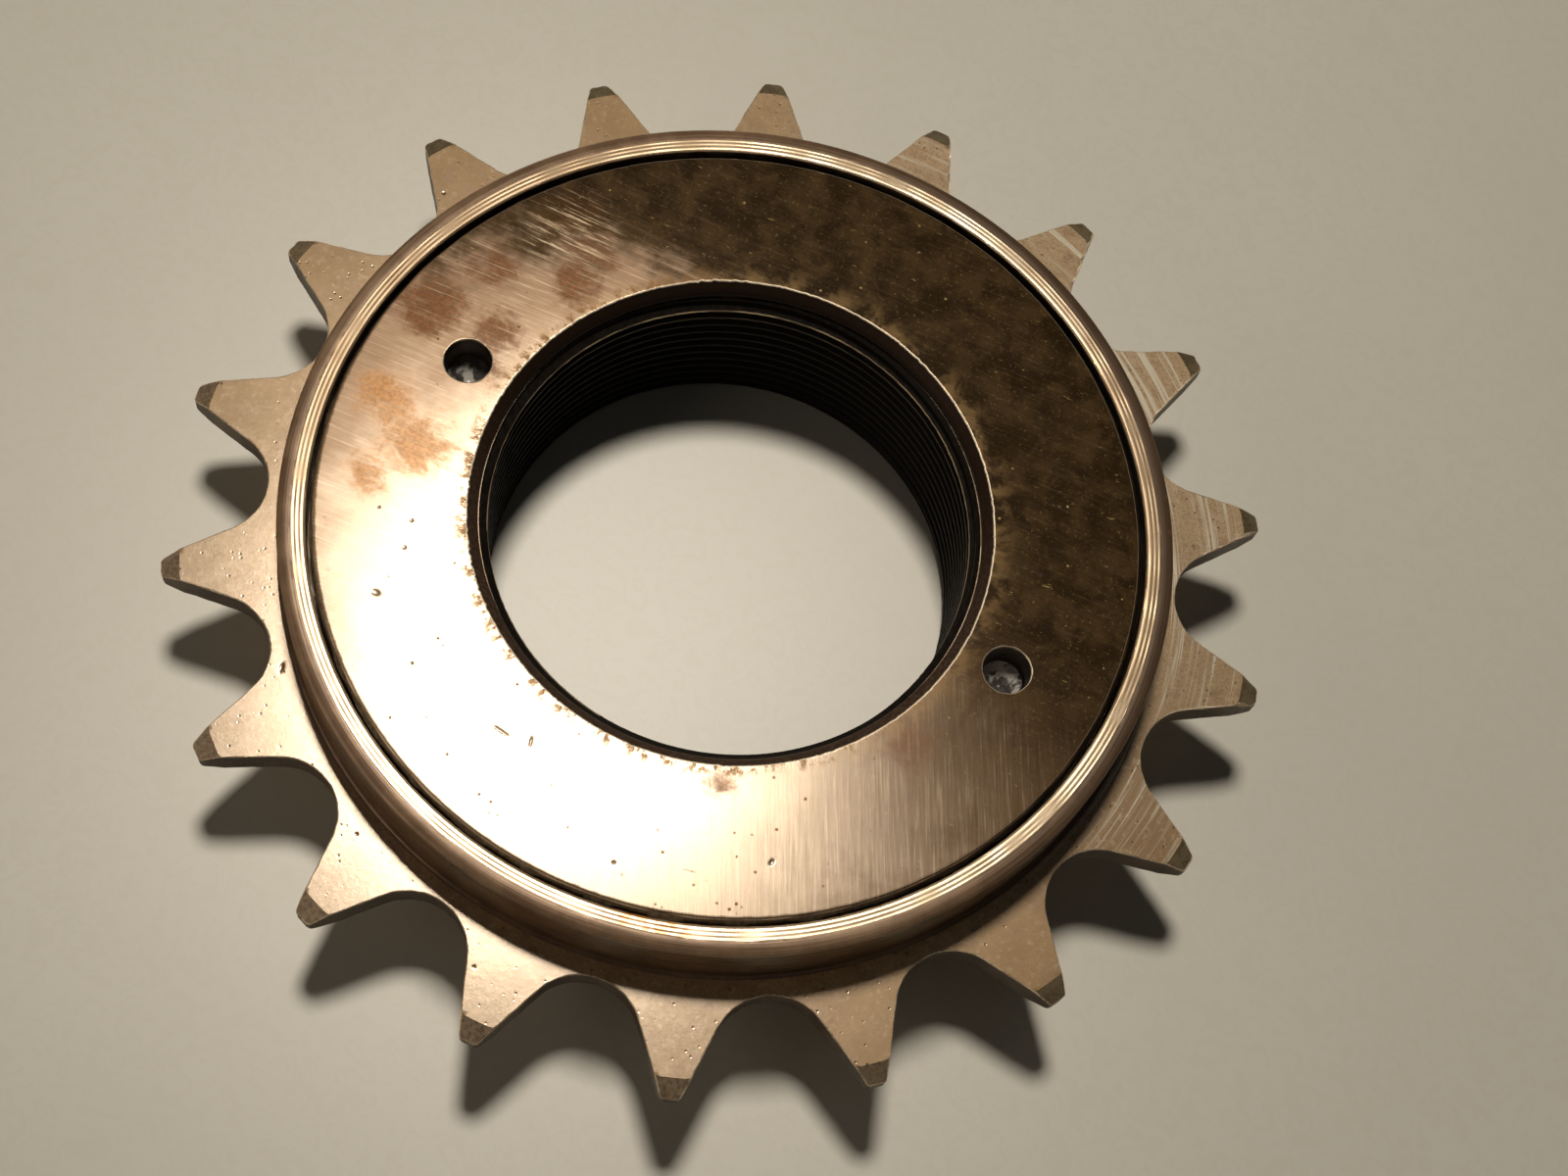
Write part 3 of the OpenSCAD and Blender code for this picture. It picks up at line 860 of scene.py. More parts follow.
def thread_shape(angles):
    """The hub thread: one spiral surface, cut off by the chamfers at its two ends."""
    rows = thread_rows()
    n, per_turn = len(angles), len(rows)
    depth = THREAD_MAJOR_R - THREAD_MINOR_R
    turns = int(NECK_Z / THREAD_PITCH) + 3
    # The crest reaches the front chamfer at this direction
    run_out, run_out_z = math.radians(79.4), NECK_Z - 0.12
    base = run_out_z - THREAD_PITCH * (run_out / TAU) - (turns - 1) * THREAD_PITCH
    rag = waves(71, 20, 20, 150)
    shape = Shape()
    grid = []
    for turn in range(turns + 1):
        for share, fall in rows:
            z = base + THREAD_PITCH * (turn + share) + THREAD_PITCH * angles / TAU
            r = THREAD_MINOR_R + depth * fall + (0.012 * rag(angles + 7 * turn) if fall < 0.1 else 0.0)
            z = np.clip(z, 0.0, NECK_Z)
            r = np.maximum(r, THREAD_FRONT_R - (NECK_Z - z))
            r = np.maximum(r, THREAD_REAR_R - z)
            r = np.where(z >= NECK_Z, THREAD_FRONT_R, r)
            r = np.where(z <= 0.0, THREAD_REAR_R, r)
            # The crests of the first two turns get a bright wear mark, a painted highlight where they catch light
            bright = 1.0 if turn >= turns - 2 else (0.12 if turn == turns - 3 else 0.0)
            on_crest = (r < THREAD_MINOR_R + 0.03) & (fall < 0.03)
            grid.append(shape.ring(r, z, angles, np.where(on_crest, bright, 0.0)))
    for m in range(len(grid) - 1):
        for i in range(n):
            if i < n - 1:
                corners = (grid[m][i], grid[m][i + 1], grid[m + 1][i + 1], grid[m + 1][i])
            elif m + per_turn + 1 < len(grid):
                corners = (grid[m][i], grid[m + per_turn][0], grid[m + per_turn + 1][0], grid[m + 1][i])
            else:
                continue
            heights = {round(shape.points[c][2], 6) for c in corners}
            if heights != {0.0} and heights != {round(NECK_Z, 6)}:
                shape.face(corners, THREAD)
    return shape


# ---------------------------------------------------------------- materials

class Nodes:
    """Short names for the shader nodes of one material. Lengths inside are millimetres."""

    def __init__(self, name):
        self.material = bpy.data.materials.new(name)
        self.material.use_nodes = True
        self.tree = self.material.node_tree
        self.tree.nodes.clear()
        self.output = self.add("ShaderNodeOutputMaterial")
        self.shader = self.add("ShaderNodeBsdfPrincipled")
        self.join(self.shader.outputs[0], self.output.inputs["Surface"])
        where = self.add("ShaderNodeTexCoord")
        self.place = self.vector("SCALE", where.outputs["Object"], scale=1 / MM)
        split = self.add("ShaderNodeSeparateXYZ")
        self.join(self.place, split.inputs[0])
        self.x, self.y, self.z = split.outputs
        flat = self.add("ShaderNodeCombineXYZ")
        self.join(self.x, flat.inputs[0])
        self.join(self.y, flat.inputs[1])
        self.flat = flat.outputs[0]
        self.radius = self.vector("LENGTH", self.flat, output="Value")
        self.heading = self.vector("NORMALIZE", self.flat)

    def add(self, kind, **settings):
        made = self.tree.nodes.new(kind)
        for key, value in settings.items():
            setattr(made, key, value)
        return made

    def join(self, source, target):
        self.tree.links.new(source, target)

    def put(self, value, target):
        """Joins a socket to an input, or sets the input to a number, vector or colour."""
        if hasattr(value, "is_output"):
            self.join(value, target)
        elif isinstance(value, (tuple, list)) and len(target.default_value) == 4 and len(value) == 3:
            target.default_value = (*value, 1.0)
        else:
            target.default_value = value

    def vector(self, operation, a, b=None, scale=None, output="Vector"):
        made = self.add("ShaderNodeVectorMath", operation=operation)
        self.put(a, made.inputs[0])
        if b is not None:
            self.put(b, made.inputs[1])
        if scale is not None:
            self.put(scale, made.inputs["Scale"])
        return made.outputs[output]

    def math(self, operation, a, b=0.0, clamp=False):
        made = self.add("ShaderNodeMath", operation=operation, use_clamp=clamp)
        self.put(a, made.inputs[0])
        self.put(b, made.inputs[1])
        return made.outputs[0]

    def times(self, a, b, clamp=False):
        return self.math("MULTIPLY", a, b, clamp)

    def plus(self, a, b):
        return self.math("ADD", a, b)

    def noise(self, vector, scale, detail=2.0, roughness=0.5, distortion=0.0):
        """Noise from 0 to 1, at a place or at a pair of a place and a fourth number."""
        made = self.add("ShaderNodeTexNoise")
        if isinstance(vector, tuple):
            vector, fourth = vector
            made.noise_dimensions = "4D"
            self.put(fourth, made.inputs["W"])
        self.put(vector, made.inputs["Vector"])
        for key, value in (("Scale", scale), ("Detail", detail), ("Roughness", roughness),
                           ("Distortion", distortion)):
            made.inputs[key].default_value = value
        return made.outputs["Fac"]

    def cells(self, vector, scale, feature="F1"):
        """Distance to the nearest of many scattered points, for dots and pits."""
        made = self.add("ShaderNodeTexVoronoi", feature=feature)
        self.put(vector, made.inputs["Vector"])
        made.inputs["Scale"].default_value = scale
        return made.outputs["Distance"]

    def smooth(self, value, low, high, start=0.0, end=1.0):
        """start where value is below low, end above high, and a smooth passage between."""
        made = self.add("ShaderNodeMapRange", interpolation_type="SMOOTHSTEP")
        self.put(value, made.inputs["Value"])
        for key, number in (("From Min", low), ("From Max", high), ("To Min", start), ("To Max", end)):
            made.inputs[key].default_value = number
        return made.outputs["Result"]

    def mix(self, share, a, b, blend="MIX"):
        """Colours a and b mixed by share."""
        made = self.add("ShaderNodeMix", data_type="RGBA", blend_type=blend)
        self.put(share, made.inputs[0])
        self.put(a, made.inputs[6])
        self.put(b, made.inputs[7])
        return made.outputs[2]

    def blend(self, share, a, b):
        """Plain numbers a and b mixed by share."""
        rest = self.times(a, self.math("SUBTRACT", 1.0, share))
        return self.plus(self.times(b, share), rest)

    def stretch(self, vector, sizes):
        return self.vector("MULTIPLY", vector, sizes)

    def toward(self, degrees):
        """1 in that direction from the axis, 0 square to it, -1 behind."""
        a = math.radians(degrees)
        return self.vector("DOT_PRODUCT", self.heading, (math.cos(a), math.sin(a), 0.0), output="Value")

    def spokes(self, fine, slow=0.05, slant=0.0):
        """Coordinates in which noise draws lines that run outwards from the axis."""
        around = self.vector("SCALE", self.heading, scale=fine)
        if slant:
            turned = self.add("ShaderNodeVectorRotate", rotation_type="Z_AXIS")
            self.join(around, turned.inputs["Vector"])
            self.join(self.times(self.radius, slant), turned.inputs["Angle"])
            around = turned.outputs[0]
        rise = self.add("ShaderNodeCombineXYZ")
        self.join(self.times(self.radius, slow), rise.inputs[2])
        return self.vector("ADD", around, rise.outputs[0])

    def circles(self, fine, slow=0.3):
        """Coordinates in which noise draws circles around the axis, as a lathe tool does."""
        around = self.vector("SCALE", self.heading, scale=slow)
        rise = self.add("ShaderNodeCombineXYZ")
        self.join(self.times(self.z, fine), rise.inputs[2])
        return self.vector("ADD", around, rise.outputs[0]), self.times(self.radius, fine)

    def lines(self, degrees, fine, slow=0.2):
        """Coordinates in which noise draws straight parallel lines along that direction."""
        turned = self.add("ShaderNodeVectorRotate", rotation_type="Z_AXIS")
        self.join(self.place, turned.inputs["Vector"])
        turned.inputs["Angle"].default_value = -math.radians(degrees)
        return self.vector("MULTIPLY", turned.outputs[0], (slow, fine, slow))

    def wear(self):
        """Bright worn edges and the painted highlight on the first thread crests, from 0 to 1."""
        made = self.add("ShaderNodeAttribute", attribute_name="wear")
        return self.math("MAXIMUM", made.outputs["Fac"], 0.0)

    def pit_shade(self):
        """Painted shade at the bottoms of pits and of the rim's turned grooves, from 0 to 1."""
        made = self.add("ShaderNodeAttribute", attribute_name="wear")
        return self.math("MAXIMUM", self.times(made.outputs["Fac"], -1.0), 0.0)

    def bump(self, height, strength, distance, normal=None):
        made = self.add("ShaderNodeBump")
        made.inputs["Strength"].default_value = strength
        made.inputs["Distance"].default_value = distance * MM
        self.put(height, made.inputs["Height"])
        if normal is not None:
            self.join(normal, made.inputs["Normal"])
        return made.outputs[0]

    def steel(self, colour, roughness, normal, metal=1.0, ior=1.5, specular=0.5):
        """Feeds the shader and returns the finished material."""
        for value, name in ((colour, "Base Color"), (roughness, "Roughness"), (metal, "Metallic"),
                            (ior, "IOR"), (specular, "Specular IOR Level"), (normal, "Normal")):
            self.put(value, self.shader.inputs[name])
        return self.material


def plate_steel():
    """Satin tan steel of the teeth's faces: fine grain, small pits, marks left by the grinding wheel painted as
    bright sheen on one side, and painted light and shade that differ by direction.
    """
    n = Nodes("plate_satin_steel")
    cloud = n.noise(n.place, 0.35, 4.0, 0.65)
    grain = n.noise(n.place, 7.0, 3.0, 0.7)
    lumps = n.noise(n.place, 2.2, 3.0, 0.6)
    wide = n.smooth(n.noise(n.circles(1.5, 2.2), 1.0, 3.0, 0.7), 0.47, 0.60)
    fine = n.smooth(n.noise(n.circles(6.0, 2.5), 1.0, 2.0, 0.6), 0.44, 0.58)
    # The grinding marks show as bright sheen only towards 46 degrees: painted sheen on real grinding marks
    grinding_bands_and_sheen = n.times(n.times(wide, fine), n.smooth(n.toward(46.0), 0.25, 0.9))
    pits = n.smooth(n.cells(n.place, 1.5), 0.17, 0.08)
    pits = n.times(pits, n.smooth(n.noise(n.place, 0.9), 0.42, 0.50))
    scratches = n.smooth(n.noise(n.lines(72.0, 7.0, 0.35), 1.0, 3.0, 0.7), 0.60, 0.72)
    stains = n.smooth(n.noise(n.place, 0.8, 6.0, 0.75, 0.5), 0.48, 0.70, 0.0, 0.75)
    colour = n.mix(n.smooth(cloud, 0.35, 0.7), (0.50, 0.325, 0.155), (0.62, 0.415, 0.208))
    # Painted shade: the faces are darker towards 15 degrees
    colour = n.mix(n.smooth(n.toward(15.0), 0.80, 1.0, 0.0, 0.55), colour, (0.22, 0.135, 0.065))
    # Painted light: the faces are lighter towards 60 degrees
    colour = n.mix(n.smooth(n.toward(60.0), 0.30, 0.95, 0.0, 0.7), colour, (0.80, 0.60, 0.38))
    colour = n.mix(n.smooth(grain, 0.42, 0.64, 0.0, 0.6), colour, (0.27, 0.155, 0.070))
    colour = n.mix(n.smooth(lumps, 0.56, 0.68, 0.0, 0.4), colour, (0.80, 0.62, 0.41))
    colour = n.mix(stains, colour, (0.25, 0.150, 0.075))
    colour = n.mix(n.times(scratches, 0.25), colour, (0.62, 0.48, 0.32))
    colour = n.mix(n.times(grinding_bands_and_sheen, 0.85), colour, (1.0, 0.93, 0.76))
    colour = n.mix(n.times(pits, 0.8), colour, (0.07, 0.035, 0.02))
    colour = n.mix(n.times(n.wear(), 0.7), colour, (0.85, 0.70, 0.52))
    colour = n.mix(n.times(n.pit_shade(), 0.8), colour, (0.05, 0.03, 0.018))
    rough = n.smooth(grain, 0.3, 0.7, 0.150, 0.208)
    rough = n.plus(rough, n.times(stains, 0.07))
    height = n.plus(n.times(grain, 0.6), n.times(lumps, 0.9))
    height = n.math("SUBTRACT", height, n.times(pits, 2.0))
    specular = n.times(n.smooth(grain, 0.35, 0.68, 0.60, 0.34), n.smooth(stains, 0.0, 0.75, 1.0, 0.7))
    # Painted highlight: the shine is stronger towards -105 degrees, where the highlight falls
    specular = n.times(specular, n.smooth(n.toward(-105.0), 0.45, 0.95, 1.0, 1.55))
    specular = n.times(specular, n.smooth(n.math("MAXIMUM", pits, n.pit_shade()), 0.0, 0.8, 1.0, 0.1))
    return n.steel(colour, rough, n.bump(height, 0.3, 0.008), 0.3, 2.35, specular)


def flank_steel():
    """Darker sheared edge of the plate, with fine marks across its thickness."""
    n = Nodes("flank_cut_steel")
    across = n.noise(n.stretch(n.place, (5.0, 5.0, 0.5)), 1.0, 3.0, 0.6)
    cloud = n.noise(n.place, 0.5, 3.0, 0.6)
    colour = n.mix(n.smooth(cloud, 0.3, 0.7), (0.055, 0.036, 0.022), (0.115, 0.078, 0.048))
    colour = n.mix(n.smooth(across, 0.45, 0.75, 0.0, 0.5), colour, (0.20, 0.14, 0.09))
    rough = n.smooth(across, 0.3, 0.7, 0.38, 0.55)
    return n.steel(colour, rough, n.bump(across, 0.5, 0.03), 0.3, 1.5, 0.4)


def tip_steel():
    """Olive-brown chamfers of the tooth tips, painted lighter and warmer on the highlight's side as painted light.
    """
    n = Nodes("tip_chamfer_steel")
    grain = n.noise(n.place, 5.0, 3.0, 0.65)
    cloud = n.noise(n.place, 0.8, 2.0)
    streak = n.noise(n.stretch(n.place, (4.0, 4.0, 0.4)), 1.0, 3.0, 0.6)
    colour = n.mix(n.smooth(cloud, 0.35, 0.65), (0.10, 0.078, 0.042), (0.17, 0.135, 0.078))
    # Painted light: the tips turn lighter and warmer towards -112 degrees, where the highlight falls
    near = n.smooth(n.toward(-112.0), -0.1, 0.8)
    colour = n.mix(near, colour, n.mix(n.smooth(streak, 0.35, 0.65), (0.15, 0.105, 0.066), (0.30, 0.225, 0.150)))
    colour = n.mix(n.smooth(grain, 0.4, 0.75, 0.0, 0.6), colour, (0.27, 0.21, 0.125))
    colour = n.mix(n.times(n.wear(), 0.5), colour, (0.55, 0.45, 0.31))
    return n.steel(colour, n.smooth(grain, 0.3, 0.7, 0.35, 0.5), n.bump(grain, 0.5, 0.03), 0.3)


def burr_steel():
    """Bright broken edges of the toothed plate."""
    n = Nodes("burr_bright_steel")
    grain = n.noise(n.place, 5.0, 3.0, 0.7)
    cloud = n.noise(n.place, 0.6, 2.0)
    share = n.plus(n.smooth(grain, 0.35, 0.65, 0.0, 0.6), n.smooth(cloud, 0.42, 0.62, 0.0, 0.5))
    colour = n.mix(share, (0.30, 0.20, 0.12), (0.85, 0.70, 0.50))
    return n.steel(colour, n.smooth(grain, 0.3, 0.7, 0.40, 0.28), n.bump(grain, 0.4, 0.02), 0.45, 1.8)


def boss_steel():
    """Brown turned side of the boss, painted darker on one side as painted shade."""
    n = Nodes("boss_turned_steel")
    rings = n.noise(n.circles(6.0, 1.5), 1.0, 3.0, 0.65)
    cloud = n.noise(n.place, 0.4, 4.0, 0.65)
    spots = n.smooth(n.cells(n.place, 1.1), 0.3, 0.12)
    spots = n.times(spots, n.smooth(n.noise(n.place, 0.5), 0.55, 0.65))
    colour = n.mix(n.smooth(cloud, 0.35, 0.68), (0.15, 0.084, 0.044), (0.25, 0.155, 0.088))
    colour = n.mix(n.smooth(rings, 0.5, 0.66, 0.0, 0.5), colour, (0.34, 0.22, 0.13))
    # Painted shade: the boss side is much darker towards 42 degrees
    colour = n.mix(n.smooth(n.toward(42.0), 0.1, 0.9, 0.0, 0.8), colour, (0.052, 0.027, 0.013))
    colour = n.mix(n.times(spots, 0.5), colour, (0.22, 0.085, 0.03))
    colour = n.mix(n.times(n.wear(), 0.6), colour, (0.56, 0.41, 0.27))
    rough = n.smooth(rings, 0.35, 0.65, 0.26, 0.42)
    return n.steel(colour, rough, n.bump(rings, 0.5, 0.02), 0.35, 1.7)


def rim_steel():
    """Bright turned rim with fine circles, short nicks and a little rust, painted darker in two directions and in
    its grooves as painted shade.
    """
    n = Nodes("rim_turned_steel")
    rings = n.noise(n.circles(3.2, 2.0), 1.0, 2.0, 0.6)
    ticks = n.smooth(n.noise(n.spokes(90.0, 0.9), 1.0, 2.0, 0.6), 0.64, 0.72)
    cloud = n.noise(n.place, 0.45, 3.0, 0.6)
    spot = n.smooth(n.noise(n.place, 1.6, 3.0), 0.44, 0.56)
    spot = n.times(n.smooth(n.toward(-70.5), 0.992, 0.9998), spot)
    colour = n.mix(n.smooth(cloud, 0.35, 0.7), (0.47, 0.345, 0.21), (0.62, 0.49, 0.33))
    # Painted shade: the rim is darker, rougher and less shiny in two directions
    painted_rim_shade = n.math("MAXIMUM", n.smooth(n.toward(30.0), 0.74, 0.97, 0.0, 0.6),
                  n.smooth(n.toward(168.0), 0.45, 0.95, 0.0, 0.80))
    colour = n.mix(painted_rim_shade, colour, (0.18, 0.115, 0.058))
    colour = n.mix(n.smooth(rings, 0.46, 0.34, 0.0, 0.55), colour, (0.22, 0.135, 0.075))
    colour = n.mix(n.times(ticks, 0.35), colour, (0.20, 0.13, 0.08))
    colour = n.mix(n.pit_shade(), colour, (0.14, 0.08, 0.04))
    colour = n.mix(n.times(spot, 0.85), colour, (0.50, 0.18, 0.03))
    rough = n.smooth(rings, 0.35, 0.65, 0.34, 0.26)
    rough = n.plus(rough, n.times(painted_rim_shade, 0.06))
    return n.steel(colour, rough, n.bump(rings, 0.3, 0.01), 0.45, 1.9, n.smooth(painted_rim_shade, 0.0, 0.8, 0.5, 0.25))


def inside_steel():
    """Oiled dark steel inside the shell: races and ratchet."""
    n = Nodes("shell_inside_steel")
    rings = n.noise(n.circles(6.0, 0.5), 1.0, 2.0)
    grease = n.noise(n.place, 0.5, 4.0, 0.6)
    colour = n.mix(n.smooth(grease, 0.4, 0.65), (0.07, 0.047, 0.028), (0.17, 0.125, 0.082))
    return n.steel(colour, n.smooth(grease, 0.35, 0.65, 0.28, 0.5), n.bump(rings, 0.4, 0.02), 0.35)


def cone_face_steel():
    """Brushed face of the cone: bright golden steel on one side, brown tarnish on the other, darkened there further
    as painted shade.
    """
    n = Nodes("cone_brushed_steel")
    near_share = n.smooth(n.toward(-55.0), 0.35, 0.85)
    brush = n.blend(near_share, n.noise(n.lines(188.0, 6.0, 0.22), 1.0, 3.0, 0.7),
                    n.noise(n.lines(-60.0, 6.0, 0.22), 1.0, 3.0, 0.7))
    broad = n.blend(near_share, n.noise(n.lines(186.0, 1.7, 0.16), 1.0, 4.0, 0.7),
                    n.noise(n.lines(-60.0, 1.7, 0.16), 1.0, 4.0, 0.7))
    cloud = n.noise(n.place, 0.16, 5.0, 0.62, 0.6)
    blot = n.noise(n.place, 0.42, 4.0, 0.62, 0.4)
    speck = n.noise(n.place, 3.2, 3.0, 0.75)
    mottle = n.times(n.math("SUBTRACT", cloud, 0.5), 0.8)
    for pattern, share in ((blot, 0.6), (broad, 0.5)):
        mottle = n.plus(mottle, n.times(n.math("SUBTRACT", pattern, 0.5), share))
    outwards = n.math("SUBTRACT", n.radius, 23.0)
    brown = n.plus(n.plus(n.toward(90.0), mottle), n.times(outwards, 0.07))
    brown = n.math("MAXIMUM", n.smooth(brown, -0.75, 0.35), n.smooth(n.toward(20.0), 0.2, 1.1))
    # dark: the far side's deep tarnish, partly painted shade, where the face also loses most of its shine
    slant = n.smooth(n.toward(150.0), 0.0, 1.0, 0.02, 0.065)
    slant = n.times(outwards, slant)
    dark = n.smooth(n.plus(n.plus(n.toward(66.0), mottle), slant), -0.16, 0.41)
    gradual = n.plus(n.toward(66.0), n.times(mottle, 0.5))
    dark = n.blend(near_share, dark, n.smooth(gradual, -0.90, 0.76))
    colour = n.mix(n.smooth(broad, 0.3, 0.7), (0.41, 0.285, 0.170), (0.52, 0.375, 0.235))
    colour = n.mix(brown, colour, (0.225, 0.130, 0.062))
    deep = n.mix(n.smooth(blot, 0.35, 0.68), (0.022, 0.012, 0.004), (0.058, 0.034, 0.013))
    colour = n.mix(dark, colour, deep)
    rust = n.math("MAXIMUM", cone_rust(n), cone_flecks(n))
    rust = n.times(rust, n.smooth(dark, 0.1, 0.9, 1.0, 0.3))
    colour = n.mix(rust, colour, cone_rust_colour(n, speck))
    colour = n.mix(cone_speckles(n, dark, speck), colour, (0.55, 0.42, 0.17))
    worn = n.times(n.smooth(n.radius, 20.2, 18.3), n.smooth(blot, 0.42, 0.6))
    colour = n.mix(n.times(worn, 0.4), colour, (0.34, 0.22, 0.10))
    light = n.times(n.smooth(brush, 0.52, 0.74, 0.0, 0.5), n.math("SUBTRACT", 1.05, dark))
    colour = n.mix(light, colour, (0.66, 0.53, 0.38))
    colour = n.mix(cone_scratches(n), colour, (0.74, 0.59, 0.40))
    grime = n.smooth(n.noise(n.spokes(26.0, 0.9), 1.0, 5.0, 0.75), 0.46, 0.62)
    grime = n.times(grime, n.smooth(n.radius, 19.5, 18.35, 0.0, 0.9))
    grime = n.times(grime, n.math("SUBTRACT", 1.0, dark))
    colour = n.mix(grime, colour, (0.22, 0.115, 0.045))
    colour = n.mix(n.times(n.wear(), 0.85), colour, (0.95, 0.83, 0.66))
    colour = n.mix(n.times(n.pit_shade(), 0.7), colour, (0.10, 0.055, 0.03))
    rough = n.smooth(brush, 0.3, 0.7, 0.205, 0.285)
    rough = n.plus(rough, n.times(brown, 0.05))
    height = n.plus(brush, n.times(blot, 0.3))
    height = n.plus(height, n.times(speck, 0.25))
    specular = n.times(n.smooth(brown, 0.0, 1.0, 0.5, 0.2), n.smooth(dark, 0.0, 1.0, 1.0, 0.08))
    stain = n.math("MAXIMUM", grime, n.times(rust, 0.55))
    rough = n.plus(rough, n.times(stain, 0.25))
    specular = n.times(specular, n.smooth(stain, 0.0, 0.6, 1.0, 0.2))
    metal = n.smooth(dark, 0.0, 1.0, 0.2, 0.1)
    return n.steel(colour, rough, n.bump(height, 0.3, 0.006), metal, 1.75, specular)


def cone_flecks(n):
    """Rust-brown flecks and short cuts scattered over the bright side."""
    dots = n.smooth(n.cells(n.place, 1.25), 0.20, 0.08)
    where = n.smooth(n.noise(n.place, 0.55, 3.0, 0.6, 0.3), 0.52, 0.60)
    cuts = n.smooth(n.noise(n.lines(20.0, 3.0, 0.35), 1.0, 3.0, 0.7), 0.68, 0.73)
    return n.math("MAXIMUM", n.times(dots, where), n.times(cuts, 0.6))


def cone_scratches(n):
    """Bright diagonal grinding marks on the far left part of the face."""
    lines = n.smooth(n.noise(n.lines(184.0, 4.0, 0.2), 1.0, 4.0, 0.8), 0.52, 0.64)
    a = math.radians(149.0)
    away = n.vector("SUBTRACT", n.flat, (24.6 * math.cos(a), 24.6 * math.sin(a), 0.0))
    return n.times(lines, n.smooth(n.vector("LENGTH", away, output="Value"), 4.6, 1.0, 0.0, 0.8))


def cone_speckles(n, dark, speck):
    """Small yellow dots and short streaks of bare steel, thickest on the tarnished side."""
    dots = n.smooth(n.cells(n.place, 0.95), 0.12, 0.06)
    where = n.smooth(n.noise(n.place, 0.9, 2.0), 0.52, 0.62)
    streaks = n.smooth(n.noise(n.lines(9.0, 3.2, 0.8), 1.0, 3.0, 0.7), 0.67, 0.74)
    film = n.smooth(speck, 0.56, 0.75, 0.0, 0.3)
    total = n.math("MAXIMUM", n.times(dots, where), n.times(streaks, 0.7))
    total = n.math("MAXIMUM", total, film)
    return n.times(total, n.smooth(dark, 0.0, 1.0, 0.15, 0.6))


def cone_rust(n):
    """Orange-brown rust round the left pin hole, along the upper left and at the bore's near edge."""
    patches = n.noise(n.place, 0.6, 6.0, 0.72, 0.5)
    streaks = n.noise(n.lines(188.0, 1.6, 0.3), 1.0, 4.0, 0.7)
    total = None
    for degrees, radius, reach, strength in RUST_SPOTS:
        a = math.radians(degrees)
        away = n.vector("SUBTRACT", n.flat, (radius * math.cos(a), radius * math.sin(a), 0.0))
        near = n.smooth(n.vector("LENGTH", away, output="Value"), reach, 0.0, 0.0, strength)
        total = near if total is None else n.math("MAXIMUM", total, near)
    mottled = n.plus(n.times(patches, 0.75), n.times(streaks, 0.25))
    cover = n.plus(mottled, n.times(total, 0.30))
    return n.times(n.smooth(cover, 0.52, 0.84, 0.0, 0.85), n.smooth(total, 0.02, 0.3), True)


def cone_rust_colour(n, speck):
    """Dark red-brown in the upper left, orange in the far left."""
    deep = n.mix(n.smooth(speck, 0.35, 0.65), (0.17, 0.062, 0.017), (0.085, 0.032, 0.009))
    orange = n.mix(n.smooth(speck, 0.35, 0.65), (0.50, 0.265, 0.110), (0.32, 0.155, 0.060))
    return n.mix(n.smooth(n.toward(201.0), 0.925, 0.985), deep, orange)


def bore_edge_steel():
    """Matte dark brown chamfer and lip at the cone's bore, with a bright worn edge; its side away from the lamp is
    painted darker as painted shade.
    """
    n = Nodes("bore_chamfer_steel")
    grain = n.noise(n.place, 4.0, 3.0, 0.7)
    rings = n.noise(n.circles(5.0, 0.7), 1.0, 2.0)
    colour = n.mix(n.smooth(grain, 0.35, 0.7), (0.050, 0.030, 0.020), (0.105, 0.066, 0.045))
    # Painted shade: the chamfer is darker on the side facing away from the lamp
    far = n.smooth(n.toward(110.0), -0.5, 0.5)
    colour = n.mix(far, colour, (0.022, 0.012, 0.007))
    colour = n.mix(n.times(n.wear(), 0.95), colour, (1.0, 0.88, 0.68))
    rough = n.smooth(grain, 0.3, 0.7, 0.38, 0.55)
    return n.steel(colour, rough, n.bump(n.plus(grain, rings), 0.4, 0.02), 0.3, 1.5, 0.15)


def hole_steel():
    """Sides of the pin holes: drilled dark steel with a bright edge."""
    n = Nodes("pin_hole_steel")
    rings = n.noise(n.stretch(n.place, (0.6, 0.6, 7.0)), 1.0, 2.0)
    colour = n.mix(n.smooth(rings, 0.3, 0.7), (0.055, 0.042, 0.032), (0.13, 0.10, 0.075))
    colour = n.mix(n.times(n.wear(), 0.8), colour, (0.90, 0.76, 0.58))
    return n.steel(colour, n.smooth(rings, 0.3, 0.7, 0.35, 0.5), n.bump(rings, 0.4, 0.03))


def hole_bottom_steel():
    """Grey drill point at the bottom of each pin hole, with light grey patches of painted light."""
    n = Nodes("drill_point_steel")
    grain = n.noise(n.place, 2.4, 3.0, 0.6)
    blob = n.smooth(n.noise(n.place, 0.8, 3.0, 0.6), 0.50, 0.60)
    colour = n.mix(n.smooth(grain, 0.35, 0.65), (0.055, 0.050, 0.048), (0.11, 0.10, 0.095))
    # Painted light: light grey patches stand in for the lit bottom of the hole
    colour = n.mix(blob, colour, (0.62, 0.60, 0.56))
    return n.steel(colour, n.smooth(grain, 0.3, 0.7, 0.30, 0.48), n.bump(grain, 0.3, 0.02), 0.3)


